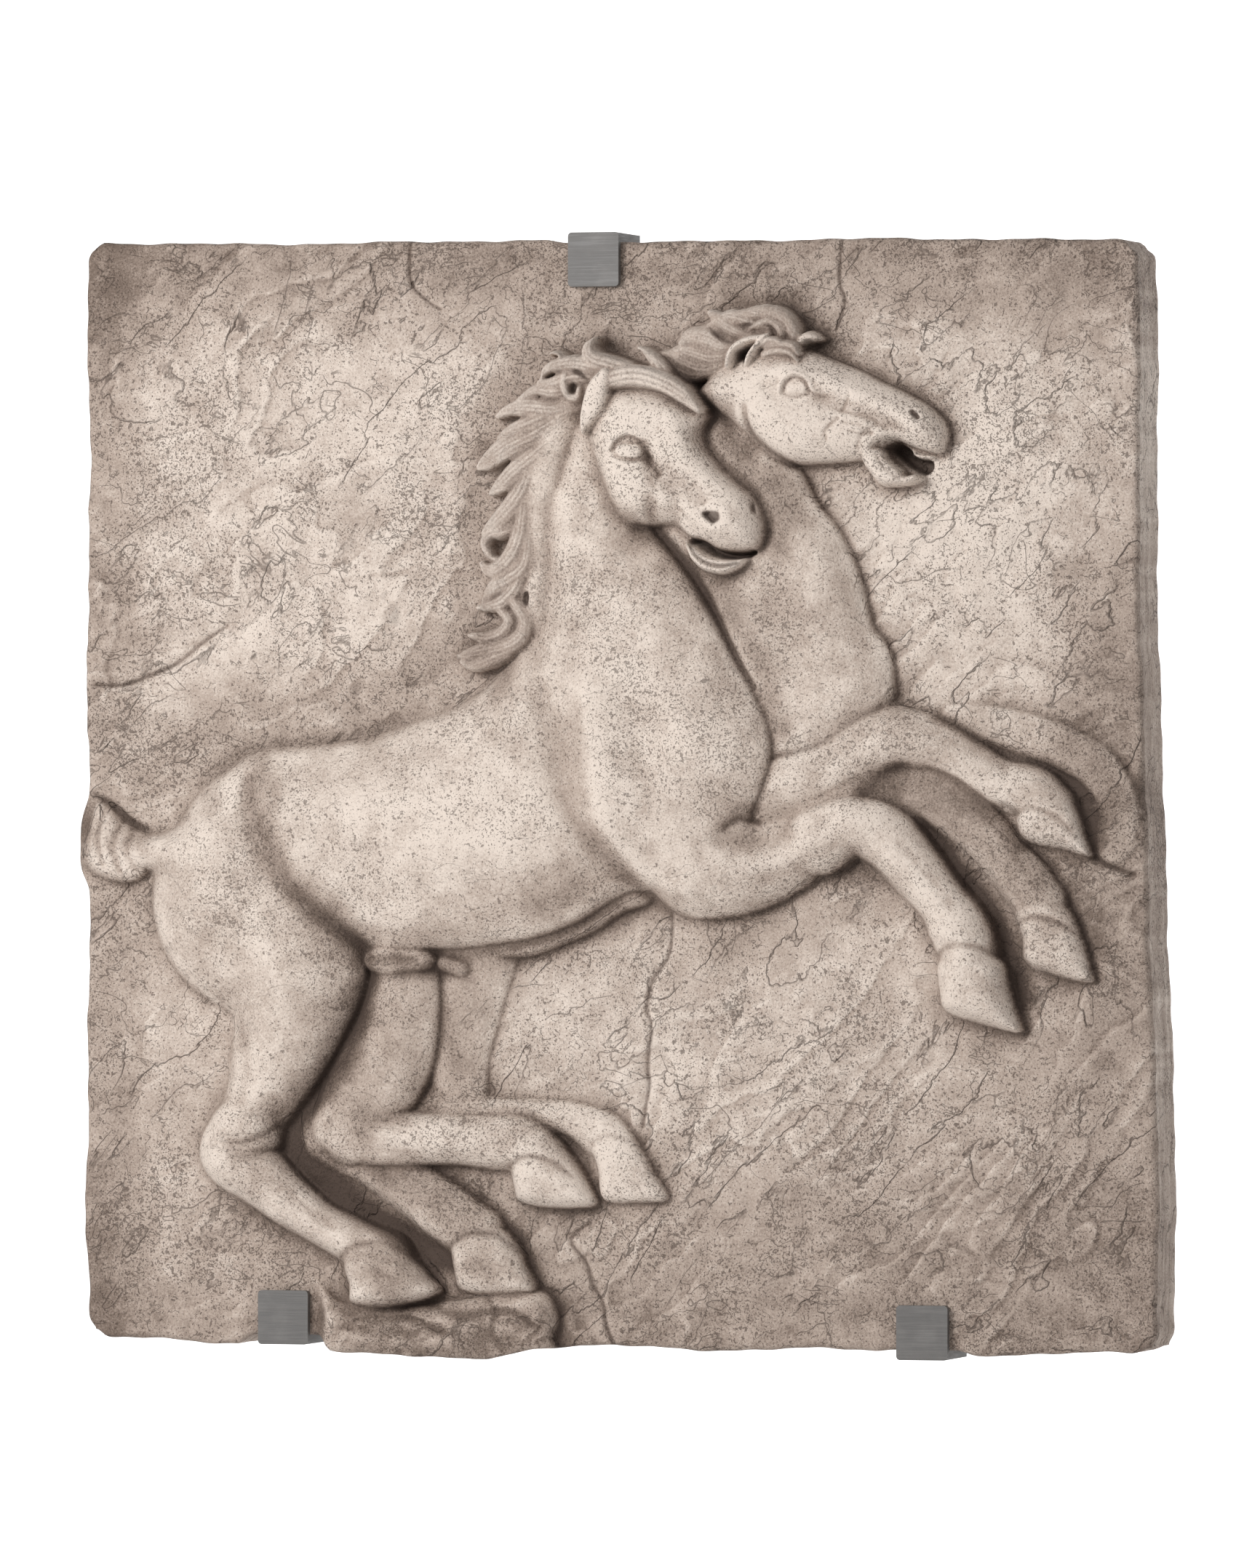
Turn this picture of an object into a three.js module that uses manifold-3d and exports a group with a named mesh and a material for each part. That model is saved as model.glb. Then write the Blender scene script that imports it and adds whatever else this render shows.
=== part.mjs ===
import * as THREE from "three";
import { mergeVertices } from "three/addons/utils/BufferGeometryUtils.js";
import Module from "manifold-3d";

// Wall plaque: two rearing horses in relief on a thick cast slab, held by three flat clips.
// Millimetres, +Z up. The slab's flat back lies in the plane y = 0 and the horses look out along -Y.

// Driving dimensions
const panelWidth = 836;
const panelHeight = 840;
const slabThickness = 64;        // back to the plain face between the horses and the rim
const carvingDepth = 45;         // how far the near horse's head stands off that face
const rimRounding = 5;           // worn front arris
const overhangDepth = 24;        // how far back the tail stump and the rock hang over the slab's edge
const clipWidth = 40;
const clipFace = 34;             // how far a clip's plate reaches over the face
const clipThickness = 6;
const clipCorner = 3;            // rounded corners of the plate
const clipArmThickness = 7;
const clearance = 0.3;           // between a clip and the slab
const carvingTolerance = 2.5;   // the facets follow the carving this closely
const clipPlaces = {             // middle of each clip, in shares of the panel's width from its left edge
  top_clip: 0.4872,
  lower_left_clip: 0.1914,
  lower_right_clip: 0.7959,
};

// The drawing sheet: stations are in thousandths of the sheet, u to the right, v up,
// then the half width of the form there and its height off the slab's face.
const sheetWidth = 995;
const sheetHeight = 1000;
const sheetMiddle = 489;         // station in the middle of the panel's width
const sheetRise = 54;            // station height of the near head, which stands at carvingDepth
const viewLean = 0.144;          // the stations were read from the right, so a raised one moves right by this share

const wearPasses = 2;
const sheetLeft = sheetMiddle - sheetWidth / 2;
const sheetRight = sheetMiddle + sheetWidth / 2;

const clamp = (x, a, b) => Math.min(b, Math.max(a, x));
const ease = (x) => x * x * (3 - 2 * x);

// a curve through the stations, open or closed, each with any number of values
function throughStations(stations, closed, steps) {
  const n = stations.length;
  const at = (i) => {
    if (closed) return stations[(i + n) % n];
    if (i < 0) return stations[0].map((x, k) => 2 * x - stations[1][k]);
    if (i >= n) return stations[n - 1].map((x, k) => 2 * x - stations[n - 2][k]);
    return stations[i];
  };
  const out = [];
  for (let i = 0; i < (closed ? n : n - 1); i++) {
    const [a, b, c, d] = [at(i - 1), at(i), at(i + 1), at(i + 2)];
    for (let s = 0; s < steps; s++) {
      const t = s / steps;
      out.push(b.map((_, k) => 0.5 * (2 * b[k] + (c[k] - a[k]) * t
        + (2 * a[k] - 5 * b[k] + 4 * c[k] - d[k]) * t * t + (3 * b[k] - 3 * c[k] + d[k] - a[k]) * t * t * t)));
    }
  }
  if (!closed) out.push(stations[n - 1]);
  return out;
}

// two heights joined with a small fillet of width k
const blended = (a, b, k) => {
  if (k <= 0) return Math.max(a, b);
  const h = clamp(0.5 + 0.5 * (a - b) / k, 0, 1);
  return b + (a - b) * h + k * h * (1 - h);
};

// rounded cross-section: 1 in the middle, 0 at the edge
const crown = (s, power) => Math.sqrt(Math.max(0, 1 - Math.pow(clamp(s, 0, 1), power)));

// The sheet's grid, and the outline that it is fitted to
const gridSteps = 256;
const gridSide = gridSteps + 1;
const sheetU = new Float64Array(gridSide * gridSide);
const sheetV = new Float64Array(gridSide * gridSide);
const height = new Float64Array(gridSide * gridSide);
const care = new Float64Array(gridSide * gridSide).fill(1);

const perMmU = sheetWidth / panelWidth;
const perMmV = sheetHeight / panelHeight;
const perMmRise = sheetRise / carvingDepth;
const bump = (x, middle, reach) => Math.exp(-Math.pow((x - middle) / reach, 2));

// where each clip sits: its middle, and the height of the slab's edge there
const seats = Object.entries(clipPlaces).map(([name, share]) => ({
  name,
  middle: sheetLeft + share * sheetWidth,
  upper: name === "top_clip",
  edge: { top_clip: sheetHeight, lower_left_clip: 7, lower_right_clip: 0 }[name],
}));
const seatHalf = (clipWidth / 2 + 4) * perMmU;
const seatFade = 16 * perMmU;
const onSeat = (u, seat) => 1 - ease(clamp((Math.abs(u - seat.middle) - seatHalf) / seatFade, 0, 1));

// the uneven line of a cast edge
const wander = (x, k) => 0.9 * Math.sin(0.017 * x + 1.7 * k) + 0.6 * Math.sin(0.041 * x + 2.9 * k)
  + 0.45 * Math.sin(0.093 * x + 0.7 * k) + 0.3 * Math.sin(0.19 * x + 1.3 * k);

// the upper or lower edge: nearly straight, true where a clip sits, rounded off at the corners
function edgeLine(u, upper) {
  const wave = upper
    ? sheetHeight + 4 - 6 * (u / sheetWidth) + wander(u, 1) - 7 * bump(u, sheetLeft, 7) - 8 * bump(u, sheetRight, 8)
    : 1 - 4 * (u / sheetWidth) + wander(u, 2) + 2 * Math.sin(u * 0.028 + 0.6)
      + 8 * bump(u, sheetLeft, 10) + 6 * bump(u, sheetRight, 9);
  return seats.reduce((line, seat) => (seat.upper === upper
    ? line + (seat.edge - line) * onSeat(u, seat) : line), wave);
}

// the left or right edge: nearly straight, the right one slanting out towards the bottom
function sideLine(v, right) {
  if (right) {
    return sheetRight - 6.5 + 7 * (1 - v / sheetHeight) + 11 * ease(clamp((650 - v) / 450, 0, 1)) + wander(v, 3)
      - 8 * bump(v, sheetHeight + 4, 8) - 6 * bump(v, 0, 9);
  }
  return sheetLeft - 0.5 - 4 * bump(v, 110, 50) + wander(v, 4) + 8 * bump(v, sheetHeight + 5, 8) + 7 * bump(v, 0, 10);
}

// a grid place on the sheet: the outline's wander fades out a little way in from the rim,
// and the tail and the rock hang over it
const fadeBand = 46;
function fitted(s, t, overhang) {
  const u0 = sheetLeft + s * sheetWidth;
  const v0 = t * sheetHeight;
  const fade = (d) => Math.pow(1 - clamp(d / fadeBand, 0, 1), 2);
  const left = sideLine(v0, false) - sheetLeft - overhang * 9 * Math.exp(-Math.pow((v0 - 455) / 34, 4));
  const right = sideLine(v0, true) - sheetRight;
  const free = seats.reduce((part, seat) => part * (1 - onSeat(u0, seat)), 1);
  const low = edgeLine(u0, false) - overhang * free * 11 * Math.exp(-Math.pow((u0 - 305) / 100, 6));
  const high = edgeLine(u0, true) - sheetHeight;
  return [
    u0 + left * fade(u0 - sheetLeft) + right * fade(sheetRight - u0),
    v0 + low * fade(v0) + high * fade(sheetHeight - v0),
  ];
}
for (let j = 0; j < gridSide; j++) {
  for (let i = 0; i < gridSide; i++) {
    const [u, v] = fitted(i / gridSteps, j / gridSteps, 1);
    sheetU[j * gridSide + i] = u;
    sheetV[j * gridSide + i] = v;
  }
}

// runs a function over the grid places near a set of points
function near(points, margin, visit) {
  const us = points.map((p) => p[0]);
  const vs = points.map((p) => p[1]);
  const cell = (x, size) => clamp(Math.round((x / size) * gridSteps), 0, gridSteps);
  const i0 = cell(Math.min(...us) - margin - sheetLeft, sheetWidth);
  const i1 = cell(Math.max(...us) + margin - sheetLeft, sheetWidth);
  const j0 = cell(Math.min(...vs) - margin, sheetHeight);
  const j1 = cell(Math.max(...vs) + margin, sheetHeight);
  for (let j = j0; j <= j1; j++) for (let i = i0; i <= i1; i++) visit(j * gridSide + i);
}

// nearest place on a path: distance in half widths, and the path's values there
function alongPath(path, u, v) {
  let best = 1e9;
  let found = null;
  for (let i = 0; i + 1 < path.length; i++) {
    const a = path[i];
    const b = path[i + 1];
    const du = b[0] - a[0];
    const dv = b[1] - a[1];
    const t = clamp(((u - a[0]) * du + (v - a[1]) * dv) / (du * du + dv * dv + 1e-9), 0, 1);
    const width = Math.max(0.5, a[2] + t * (b[2] - a[2]));
    const share = Math.hypot(u - a[0] - t * du, v - a[1] - t * dv) / width;
    if (share < best) {
      best = share;
      found = { width, rise: a[3] + t * (b[3] - a[3]) };
    }
  }
  return { share: best, ...found };
}

// signed distance to a closed outline, positive inside
function insideOutline(outline, u, v) {
  let nearest = 1e18;
  let inside = false;
  for (let i = 0, n = outline.length; i < n; i++) {
    const a = outline[i];
    const b = outline[(i + 1) % n];
    const eu = b[0] - a[0];
    const ev = b[1] - a[1];
    const t = clamp(((u - a[0]) * eu + (v - a[1]) * ev) / (eu * eu + ev * ev), 0, 1);
    nearest = Math.min(nearest, (u - a[0] - t * eu) ** 2 + (v - a[1] - t * ev) ** 2);
    if ((a[1] > v) !== (b[1] > v) && u < a[0] + ((b[0] - a[0]) * (v - a[1])) / (b[1] - a[1])) inside = !inside;
  }
  return (inside ? 1 : -1) * Math.sqrt(nearest);
}

const leaned = (points, rise) => points.map((p) => [p[0] + viewLean * (rise ?? p[3]), ...p.slice(1)]);
const filled = (value) => new Float64Array(gridSide * gridSide).fill(value);
const cells = (distance) => Math.max(1, Math.round((distance / sheetWidth) * gridSide));

// two box averages each way, from running totals
function softened(values, reach) {
  let now = Float64Array.from(values);
  const total = new Float64Array(gridSide + 2 * reach + 1);
  for (const alongRow of [true, false, true, false]) {
    const next = new Float64Array(now.length);
    for (let line = 0; line < gridSide; line++) {
      const at = (n) => {
        const m = clamp(n, 0, gridSteps);
        return alongRow ? line * gridSide + m : m * gridSide + line;
      };
      for (let n = 0; n < gridSide + 2 * reach; n++) total[n + 1] = total[n] + now[at(n - reach)];
      for (let n = 0; n < gridSide; n++) next[at(n)] = (total[n + 2 * reach + 1] - total[n]) / (2 * reach + 1);
    }
    now = next;
  }
  return now;
}

// 1 where a contour faces down and to the right, 0.25 where it faces up and to the left
function facing(outside, k) {
  const [i, j] = [k % gridSide, Math.floor(k / gridSide)];
  const du = outside[j * gridSide + Math.min(i + 1, gridSteps)] - outside[j * gridSide + Math.max(i - 1, 0)];
  const dv = outside[Math.min(j + 1, gridSteps) * gridSide + i] - outside[Math.max(j - 1, 0) * gridSide + i];
  const length = Math.hypot(du, dv) + 1e-9;
  return 0.25 + 0.75 * clamp(0.45 + (0.62 * (du - dv)) / length, 0, 1);
}

// gathered forms flow into one another, and settle on the ground as one with a groove round their contour
let layer = null;
function gather(blend) {
  layer = { form: filled(-60), away: filled(60), blend };
}
function settle(peak, { groove = 5, reach = 4 } = {}) {
  const { form, away } = layer;
  layer = null;
  const worn = softened(form, cells(3));
  const below = softened(height, cells(7));
  for (let k = 0; k < height.length; k++) {
    if (away[k] > 4 * reach + 4) continue;
    const soft = form[k] + (worn[k] - form[k]) * ease(clamp(-away[k] / 16 - 0.1, 0, 1));
    const start = clamp(below[k], -3, 0.8 * peak) - 0.8 * groove;
    const top = start + (Math.max(0, soft) * (peak - start)) / peak;
    const outer = Math.exp(-Math.pow(Math.max(0, away[k]) / reach, 2)) * facing(away, k);
    const ground = height[k] - groove * outer * clamp((peak - height[k]) / 10, 0, 1);
    height[k] = ground + (top - ground) * ease(clamp(0.5 - away[k] / 3.5, 0, 1));
  }
}

// one form comes down on the ground, or joins the gathered ones
function lay(places, form, rise, outside, blend, groove, reach) {
  for (const k of places) {
    if (layer) {
      layer.form[k] = blended(form[k], layer.form[k], layer.blend);
      layer.away[k] = Math.min(outside[k], layer.away[k]);
      continue;
    }
    const higher = clamp(((rise.length ? rise[k] : rise) - height[k]) / 8, 0, 1);
    const outer = groove ? Math.exp(-Math.pow(Math.max(0, outside[k]) / reach, 2)) * higher * facing(outside, k) : 0;
    height[k] = blended(form[k], height[k] - groove * outer, blend);
  }
}

// a limb, lock or muscle: a rounded form along its stations
function limb(stations, { blend = 3, groove = 0, reach = 4, base = 0, power = 2.2 } = {}) {
  const path = leaned(throughStations(stations, false, 5));
  const [form, outside, rises] = [filled(-60), filled(60), filled(0)];
  const places = [];
  near(path, Math.max(...path.map((p) => p[2])) + 4 * reach + 6, (k) => {
    const { share, width, rise } = alongPath(path, sheetU[k], sheetV[k]);
    places.push(k);
    rises[k] = rise;
    outside[k] = (share - 1) * width;
    form[k] = share < 1 ? base + (rise - base) * crown(share, power) : base - 1.5 * outside[k] - (base ? 30 : 0);
  });
  lay(places, form, rises, outside, blend, groove, reach);
}

// a broad form with a drawn outline, rounded over towards it; the ridge where two sides meet is worn away
function mass(outline, rise, rounding, { blend = 2, groove = 0, reach = 4, base = 0, power = 2.1 } = {}) {
  const line = leaned(throughStations(outline, true, 4), rise);
  const [form, outside] = [filled(base), filled(60)];
  const places = [];
  near(line, 4 * reach + 6, (k) => {
    const d = insideOutline(line, sheetU[k], sheetV[k]);
    places.push(k);
    outside[k] = -d;
    form[k] = base + (rise - base) * crown(1 - d / rounding, power);
  });
  const worn = rounding > 20 ? softened(form, cells(rounding / 6)) : form;
  for (const k of places) {
    const d = -outside[k];
    form[k] = d > 0 ? form[k] + (worn[k] - form[k]) * ease(clamp((2.5 * d) / rounding - 0.3, 0, 1))
      : base + 1.5 * d - (base ? 30 : 0);
  }
  lay(places, form, rise, outside, blend, groove, reach);
}

// a groove pressed in along its stations (or a ridge, where depth is less than nothing)
function press(stations, depth, rise) {
  const path = leaned(throughStations(stations.map(([u, v, w]) => [u, v, w, 1]), false, 5), rise);
  near(path, 2.4 * Math.max(...path.map((p) => p[2])), (k) => {
    const { share } = alongPath(path, sheetU[k], sheetV[k]);
    if (share < 2.4) height[k] -= depth * Math.exp(-share * share);
  });
}

// a pit with a drawn outline
function hollow(outline, depth, rise, rounding = 3) {
  const line = leaned(throughStations(outline, true, 5), rise);
  near(line, 2, (k) => {
    height[k] -= depth * ease(clamp(insideOutline(line, sheetU[k], sheetV[k]) / rounding, 0, 1));
  });
}

// a soft swelling about one place, or a dip where depth is less than nothing
function lump([u, v], [long, wide, turn = 0], depth, rise) {
  const [c, s] = [Math.cos((turn * Math.PI) / 180), Math.sin((turn * Math.PI) / 180)];
  near([[u + viewLean * rise, v]], 2.6 * Math.max(long, wide), (k) => {
    const [du, dv] = [sheetU[k] - u - viewLean * rise, sheetV[k] - v];
    height[k] += depth * Math.exp(-(((du * c + dv * s) / long) ** 2) - ((dv * c - du * s) / wide) ** 2);
  });
}

// a flat lock of hair whose tip sinks into what lies under it
function lock(stations) {
  limb(stations.map(([u, v, w, rise]) => [u, v, 1.22 * w, rise]),
    { blend: 1.6, groove: 1.8, reach: 2.4, base: stations[0][3] - 11, power: 1.7 });
}

// slab face: slow swells and a few long ledges
for (let k = 0; k < height.length; k++) {
  const [u, v] = [sheetU[k], sheetV[k]];
  height[k] = 1.6 * Math.sin(u * 0.011 + 0.9 * Math.sin(v * 0.006)) * Math.sin(v * 0.009 + 1.3)
    + 0.8 * Math.sin((u * 0.9 + v * 0.5) * 0.021 + 2 * Math.sin(v * 0.013));
}
press([[0, 600, 5], [50, 608, 6], [100, 637, 6], [150, 668, 4]], 1.6, 0);
press([[545, 390, 4], [526, 322, 4], [523, 250, 4], [520, 200, 3]], 2, 0);
press([[450, 100, 4], [472, 60, 4], [485, 20, 4], [495, -5, 3]], 2, 0);
press([[930, 447, 5], [975, 430, 6]], 2, 0);

// the near body's contour, line by line, from the withers over the tail and round
const nearBody = {
  back: [[384, 615], [350, 586], [300, 566], [250, 551], [200, 546], [150, 541], [128, 528], [108, 514],
    [90, 496], [70, 468]],
  rump: [[54, 440], [48, 415], [49, 388], [57, 360], [76, 332], [100, 312], [120, 302]],
  hindLeg: [[126, 286], [124, 264], [121, 240], [115, 218], [103, 198], [94, 176], [98, 158], [120, 148],
    [150, 160]],
  stifle: [[172, 180], [176, 194], [190, 212], [208, 236], [224, 262], [240, 292], [252, 314], [258, 336],
    [254, 354]],
  belly: [[270, 361], [310, 359], [350, 360], [400, 366], [430, 373], [460, 385], [488, 402], [508, 411],
    [526, 408]],
  forearm: [[540, 396], [562, 387], [590, 387], [620, 393], [645, 403], [668, 416], [684, 429],
    [700, 441], [716, 448]],
  knee: [[738, 452], [744, 472], [734, 490], [716, 499], [695, 492], [672, 484], [650, 479], [622, 476]],
  breast: [[630, 500], [638, 522], [641, 545], [636, 566], [624, 592], [606, 622], [590, 656], [576, 680],
    [562, 700], [544, 722], [526, 744]],
  crest: [[512, 800], [505, 864], [478, 864], [446, 842], [432, 806], [419, 755], [417, 728], [419, 695],
    [415, 662], [398, 636]],
};
const tailTuft = [[62, 463], [46, 465], [32, 471], [14, 486], [0, 495], [-7, 478], [-13, 451], [-9, 431], [12, 420], [37, 420], [51, 433]];

// far horse: far hind leg in the lowest relief
gather(4);
limb([[372, 365, 34, 7], [352, 310, 36, 7], [345, 260, 30, 7], [352, 228, 22, 7]]);
limb([[340, 212, 16, 8], [400, 210, 15, 9], [450, 206, 17, 10], [482, 192, 22, 12]]);
settle(12, { groove: 1.5, reach: 4 });
mass([[470, 186], [477, 160], [482, 133], [512, 130], [543, 134], [530, 160], [515, 186], [497, 206],
  [476, 214]], 17, 14, { groove: 3, base: 0, blend: 3 });
press([[476, 186, 4], [492, 192, 4], [512, 188, 4], [520, 176, 3]], 1.4, 15);
// the lifted foreleg that is only sketched in the ground
limb([[800, 566, 14, 3], [850, 566, 13, 5], [900, 548, 14, 5], [942, 522, 14, 5], [962, 488, 13, 4],
  [955, 455, 14, 3]], { blend: 3, groove: 1 });
// far horse: neck and breast
mass([[662, 800], [682, 764], [705, 735], [723, 695], [733, 655], [749, 630], [754, 600], [746, 575],
  [690, 520], [620, 470], [560, 520], [530, 640], [520, 760], [560, 840], [610, 850]], 24, 46,
  { groove: 5, power: 2.2 });
lump([684, 660], [30, 70], 2.5, 24);
lump([716, 604], [30, 30], 2.0, 24);
press([[640, 740, 12], [648, 690, 14], [650, 640, 14], [664, 600, 12]], 1.8, 24);
// far horse: near foreleg
gather(7);
limb([[600, 490, 34, 20], [655, 504, 32, 24], [695, 520, 32, 26], [728, 540, 31, 28], [754, 551, 29, 28],
  [788, 544, 26, 26], [822, 527, 24, 24], [852, 509, 24, 24], [882, 502, 25, 25], [900, 488, 24, 25]]);
mass([[868, 486], [870, 462], [886, 454], [910, 450], [936, 444], [931, 465], [925, 486], [912, 500],
  [888, 504]], 27, 17);
settle(29, { groove: 5, reach: 4 });
lump([752, 562], [18, 12], 2.6, 28);
press([[700, 532, 6], [730, 552, 5], [752, 560, 4]], 1.4, 28);
press([[790, 556, 4], [826, 540, 4], [862, 522, 3]], 1.3, 24);
press([[866, 482, 3], [884, 490, 3.5], [908, 480, 3.5], [918, 470, 2]], 1.6, 26);
press([[850, 488, 4], [860, 490, 4], [868, 484, 3]], 2.0, 24);
// near horse: far foreleg
gather(7);
limb([[690, 470, 24, 12], [730, 490, 26, 15], [765, 498, 25, 17], [797, 494, 27, 18], [828, 474, 25, 18],
  [853, 447, 23, 18], [875, 422, 25, 19], [890, 402, 25, 20]]);
mass([[866, 396], [872, 370], [874, 350], [900, 337], [937, 331], [937, 345], [930, 370], [917, 398],
  [890, 410]], 22, 17);
settle(22, { groove: 6, reach: 5 });
press([[868, 382, 3], [888, 390, 3.5], [912, 384, 3.5], [926, 372, 2]], 1.5, 20);
press([[812, 502, 4], [840, 478, 4], [864, 450, 4], [880, 430, 3]], 1.3, 18);
// near horse: far hind leg below the hock
gather(7);
limb([[225, 190, 30, 14], [262, 166, 24, 16], [300, 142, 26, 19], [335, 118, 28, 22], [362, 100, 28, 22]]);
mass([[338, 92], [341, 62], [348, 48], [380, 44], [419, 49], [410, 74], [402, 92], [385, 108],
  [356, 110]], 25, 17);
settle(25, { groove: 7, reach: 5 });
press([[338, 88, 3.5], [360, 100, 4], [386, 98, 4], [404, 84, 2]], 1.6, 23);
// far horse: near hind leg with its hock
gather(9);
limb([[300, 370, 30, 18], [295, 335, 34, 22], [290, 300, 39, 25], [282, 268, 42, 26], [266, 238, 43, 26],
  [248, 210, 38, 26], [245, 190, 28, 25]]);
limb([[232, 198, 26, 24], [262, 188, 26, 26], [300, 187, 25, 27], [345, 186, 24, 27], [380, 184, 26, 27],
  [405, 182, 27, 28], [424, 168, 26, 28]]);
mass([[394, 170], [397, 142], [402, 130], [432, 124], [474, 127], [470, 146], [458, 166], [445, 182],
  [428, 198], [404, 196]], 29, 18);
settle(29, { groove: 6, reach: 5 });
lump([236, 206], [16, 20], 2.0, 25);
press([[396, 162, 3.5], [414, 172, 4], [440, 166, 4], [456, 152, 2]], 1.8, 27);
press([[262, 203, 4], [310, 202, 4], [360, 202, 4], [388, 198, 3]], 1.0, 26);
press([[276, 176, 4], [330, 174, 4], [372, 172, 4]], 1.2, 26);
press([[262, 300, 9], [258, 270, 10], [250, 240, 8]], 1.4, 25);
// the rock under the hooves
mass([[224, 52], [240, 38], [268, 34], [300, 37], [345, 45], [400, 46], [428, 42], [436, 24], [432, 0],
  [425, -30], [228, -30], [220, 10]], 19, 14, { groove: 2, base: 0 });
press([[236, 30, 4], [270, 18, 5], [300, 22, 4], [330, 12, 4]], 2.6, 18);
press([[310, 34, 4], [350, 26, 5], [392, 30, 4], [420, 18, 3]], 2.8, 18);
press([[260, 6, 4], [310, 2, 5], [350, 8, 4], [396, 4, 4]], -2.2, 18);
press([[350, 12, 6], [384, 16, 6], [410, 8, 4]], -1.8, 18);
// lower line of the far belly, and the sheath
mass([[260, 380], [330, 352], [372, 350], [410, 352], [442, 362], [474, 376], [500, 392], [528, 404],
  [520, 430], [420, 420], [300, 410]], 21, 20, { groove: 2 });
mass([[256, 358], [261, 340], [280, 334], [300, 336], [320, 340], [325, 352], [310, 364], [280, 366]], 27, 9,
  { groove: 3, base: 8 });
limb([[334, 346, 9, 17], [350, 341, 9, 17]], { blend: 2, groove: 2 });
// body, neck, thigh and forearm as one, with the limbs running out of it
gather(9);
mass(Object.values(nearBody).flat(), 46, 92, { power: 1.85 });
limb([[112, 452, 36, 40], [84, 448, 24, 36], [56, 446, 17, 31], [40, 446, 14, 28]]);
mass(tailTuft, 27, 16);
limb([[139, 190, 36, 37], [131, 172, 34, 36], [155, 152, 29, 35], [182, 130, 25, 34], [212, 110, 21, 33],
  [240, 96, 22, 33], [264, 84, 24, 33]]);
mass([[236, 78], [240, 52], [243, 36], [282, 33], [326, 46], [318, 62], [305, 78], [292, 98],
  [262, 106]], 34, 20);
limb([[682, 458, 32, 39], [716, 471, 28, 39], [746, 461, 30, 38], [772, 434, 28, 36], [797, 405, 25, 35],
  [815, 376, 30, 36], [824, 352, 27, 36]]);
mass([[794, 352], [794, 322], [800, 304], [832, 293], [869, 286], [866, 306], [861, 326], [854, 352],
  [826, 362]], 38, 22);
settle(46, { groove: 7, reach: 6 });
// folds of the tail
press([[8, 484, 3], [4, 460, 3.4], [8, 436, 3]], 3.0, 26);
press([[24, 474, 3], [20, 452, 3.6], [24, 430, 3]], 2.6, 28);
press([[44, 462, 4], [40, 446, 4], [46, 430, 3]], 2.4, 30);
// hooves, hocks, knees
press([[236, 76, 4], [256, 88, 4], [282, 90, 4], [304, 76, 2]], 2.0, 32);
press([[138, 184, 4], [152, 186, 4], [168, 192, 3]], 2.6, 35);
press([[150, 166, 8], [178, 144, 6], [206, 124, 5], [232, 108, 4]], 1.6, 34);
press([[128, 298, 8], [142, 280, 8], [148, 250, 8], [142, 220, 6]], 2.2, 40);
lump([150, 256], [14, 34, -12], 1.6, 40);
lump([208, 268], [14, 36, -30], 1.8, 40);
lump([124, 176], [14, 12], 2.0, 36);
lump([720, 482], [20, 11], 2.6, 39);
press([[600, 458, 9], [640, 458, 9], [680, 470, 7], [704, 482, 4]], 1.6, 42);
press([[636, 424, 7], [676, 440, 7], [706, 456, 5]], 1.6, 41);
lump([606, 430], [40, 16, 6], 1.6, 43);
press([[766, 456, 4], [790, 428, 4], [812, 400, 4]], 1.4, 36);
press([[794, 354, 4], [820, 364, 4], [848, 356, 3]], 2.2, 36);
press([[784, 372, 4], [800, 378, 5], [812, 372, 4]], -1.8, 36);
// barrel, haunch and flank
lump([320, 470], [96, 52], 3.4, 44);
press([[190, 520, 16], [260, 528, 18], [330, 548, 16]], 1.6, 44);
lump([112, 446], [30, 52, 8], 4.6, 45);
lump([190, 340], [44, 28, -30], 3.6, 44);
lump([138, 512], [22, 16], 2.0, 44);
press([[148, 512, 9], [156, 470, 12], [190, 418, 11], [232, 380, 9], [258, 357, 7]], 6.0, 44);
press([[186, 478, 16], [214, 430, 16], [262, 394, 12]], -2.4, 44);
press([[86, 356, 12], [118, 366, 14], [150, 346, 12]], 1.6, 44);
press([[420, 392, 12], [470, 420, 14], [500, 440, 10]], 1.8, 44);
// shoulder, breast and neck
press([[428, 590, 15], [440, 545, 15], [456, 492, 14], [484, 448, 11], [522, 410, 8]], 6.0, 45);
press([[476, 590, 12], [484, 530, 12], [496, 470, 12], [524, 432, 10], [560, 412, 8]], -3.4, 45);
press([[508, 596, 10], [518, 556, 11], [524, 520, 9]], 2.4, 45);
lump([572, 562], [38, 54], 4.6, 46);
lump([498, 540], [24, 62, 14], 2.6, 46);
press([[512, 640, 14], [530, 590, 14], [536, 540, 12], [526, 490, 10]], 1.8, 46);
press([[466, 790, 9], [468, 740, 11], [470, 690, 12], [462, 640, 12], [448, 600, 10]], 2.0, 46);
lump([520, 690], [22, 46, 14], 2.2, 46);
lump([440, 730], [14, 70], 1.4, 46);
press([[600, 470, 4], [612, 478, 4], [628, 474, 3]], 2.4, 44);
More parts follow.
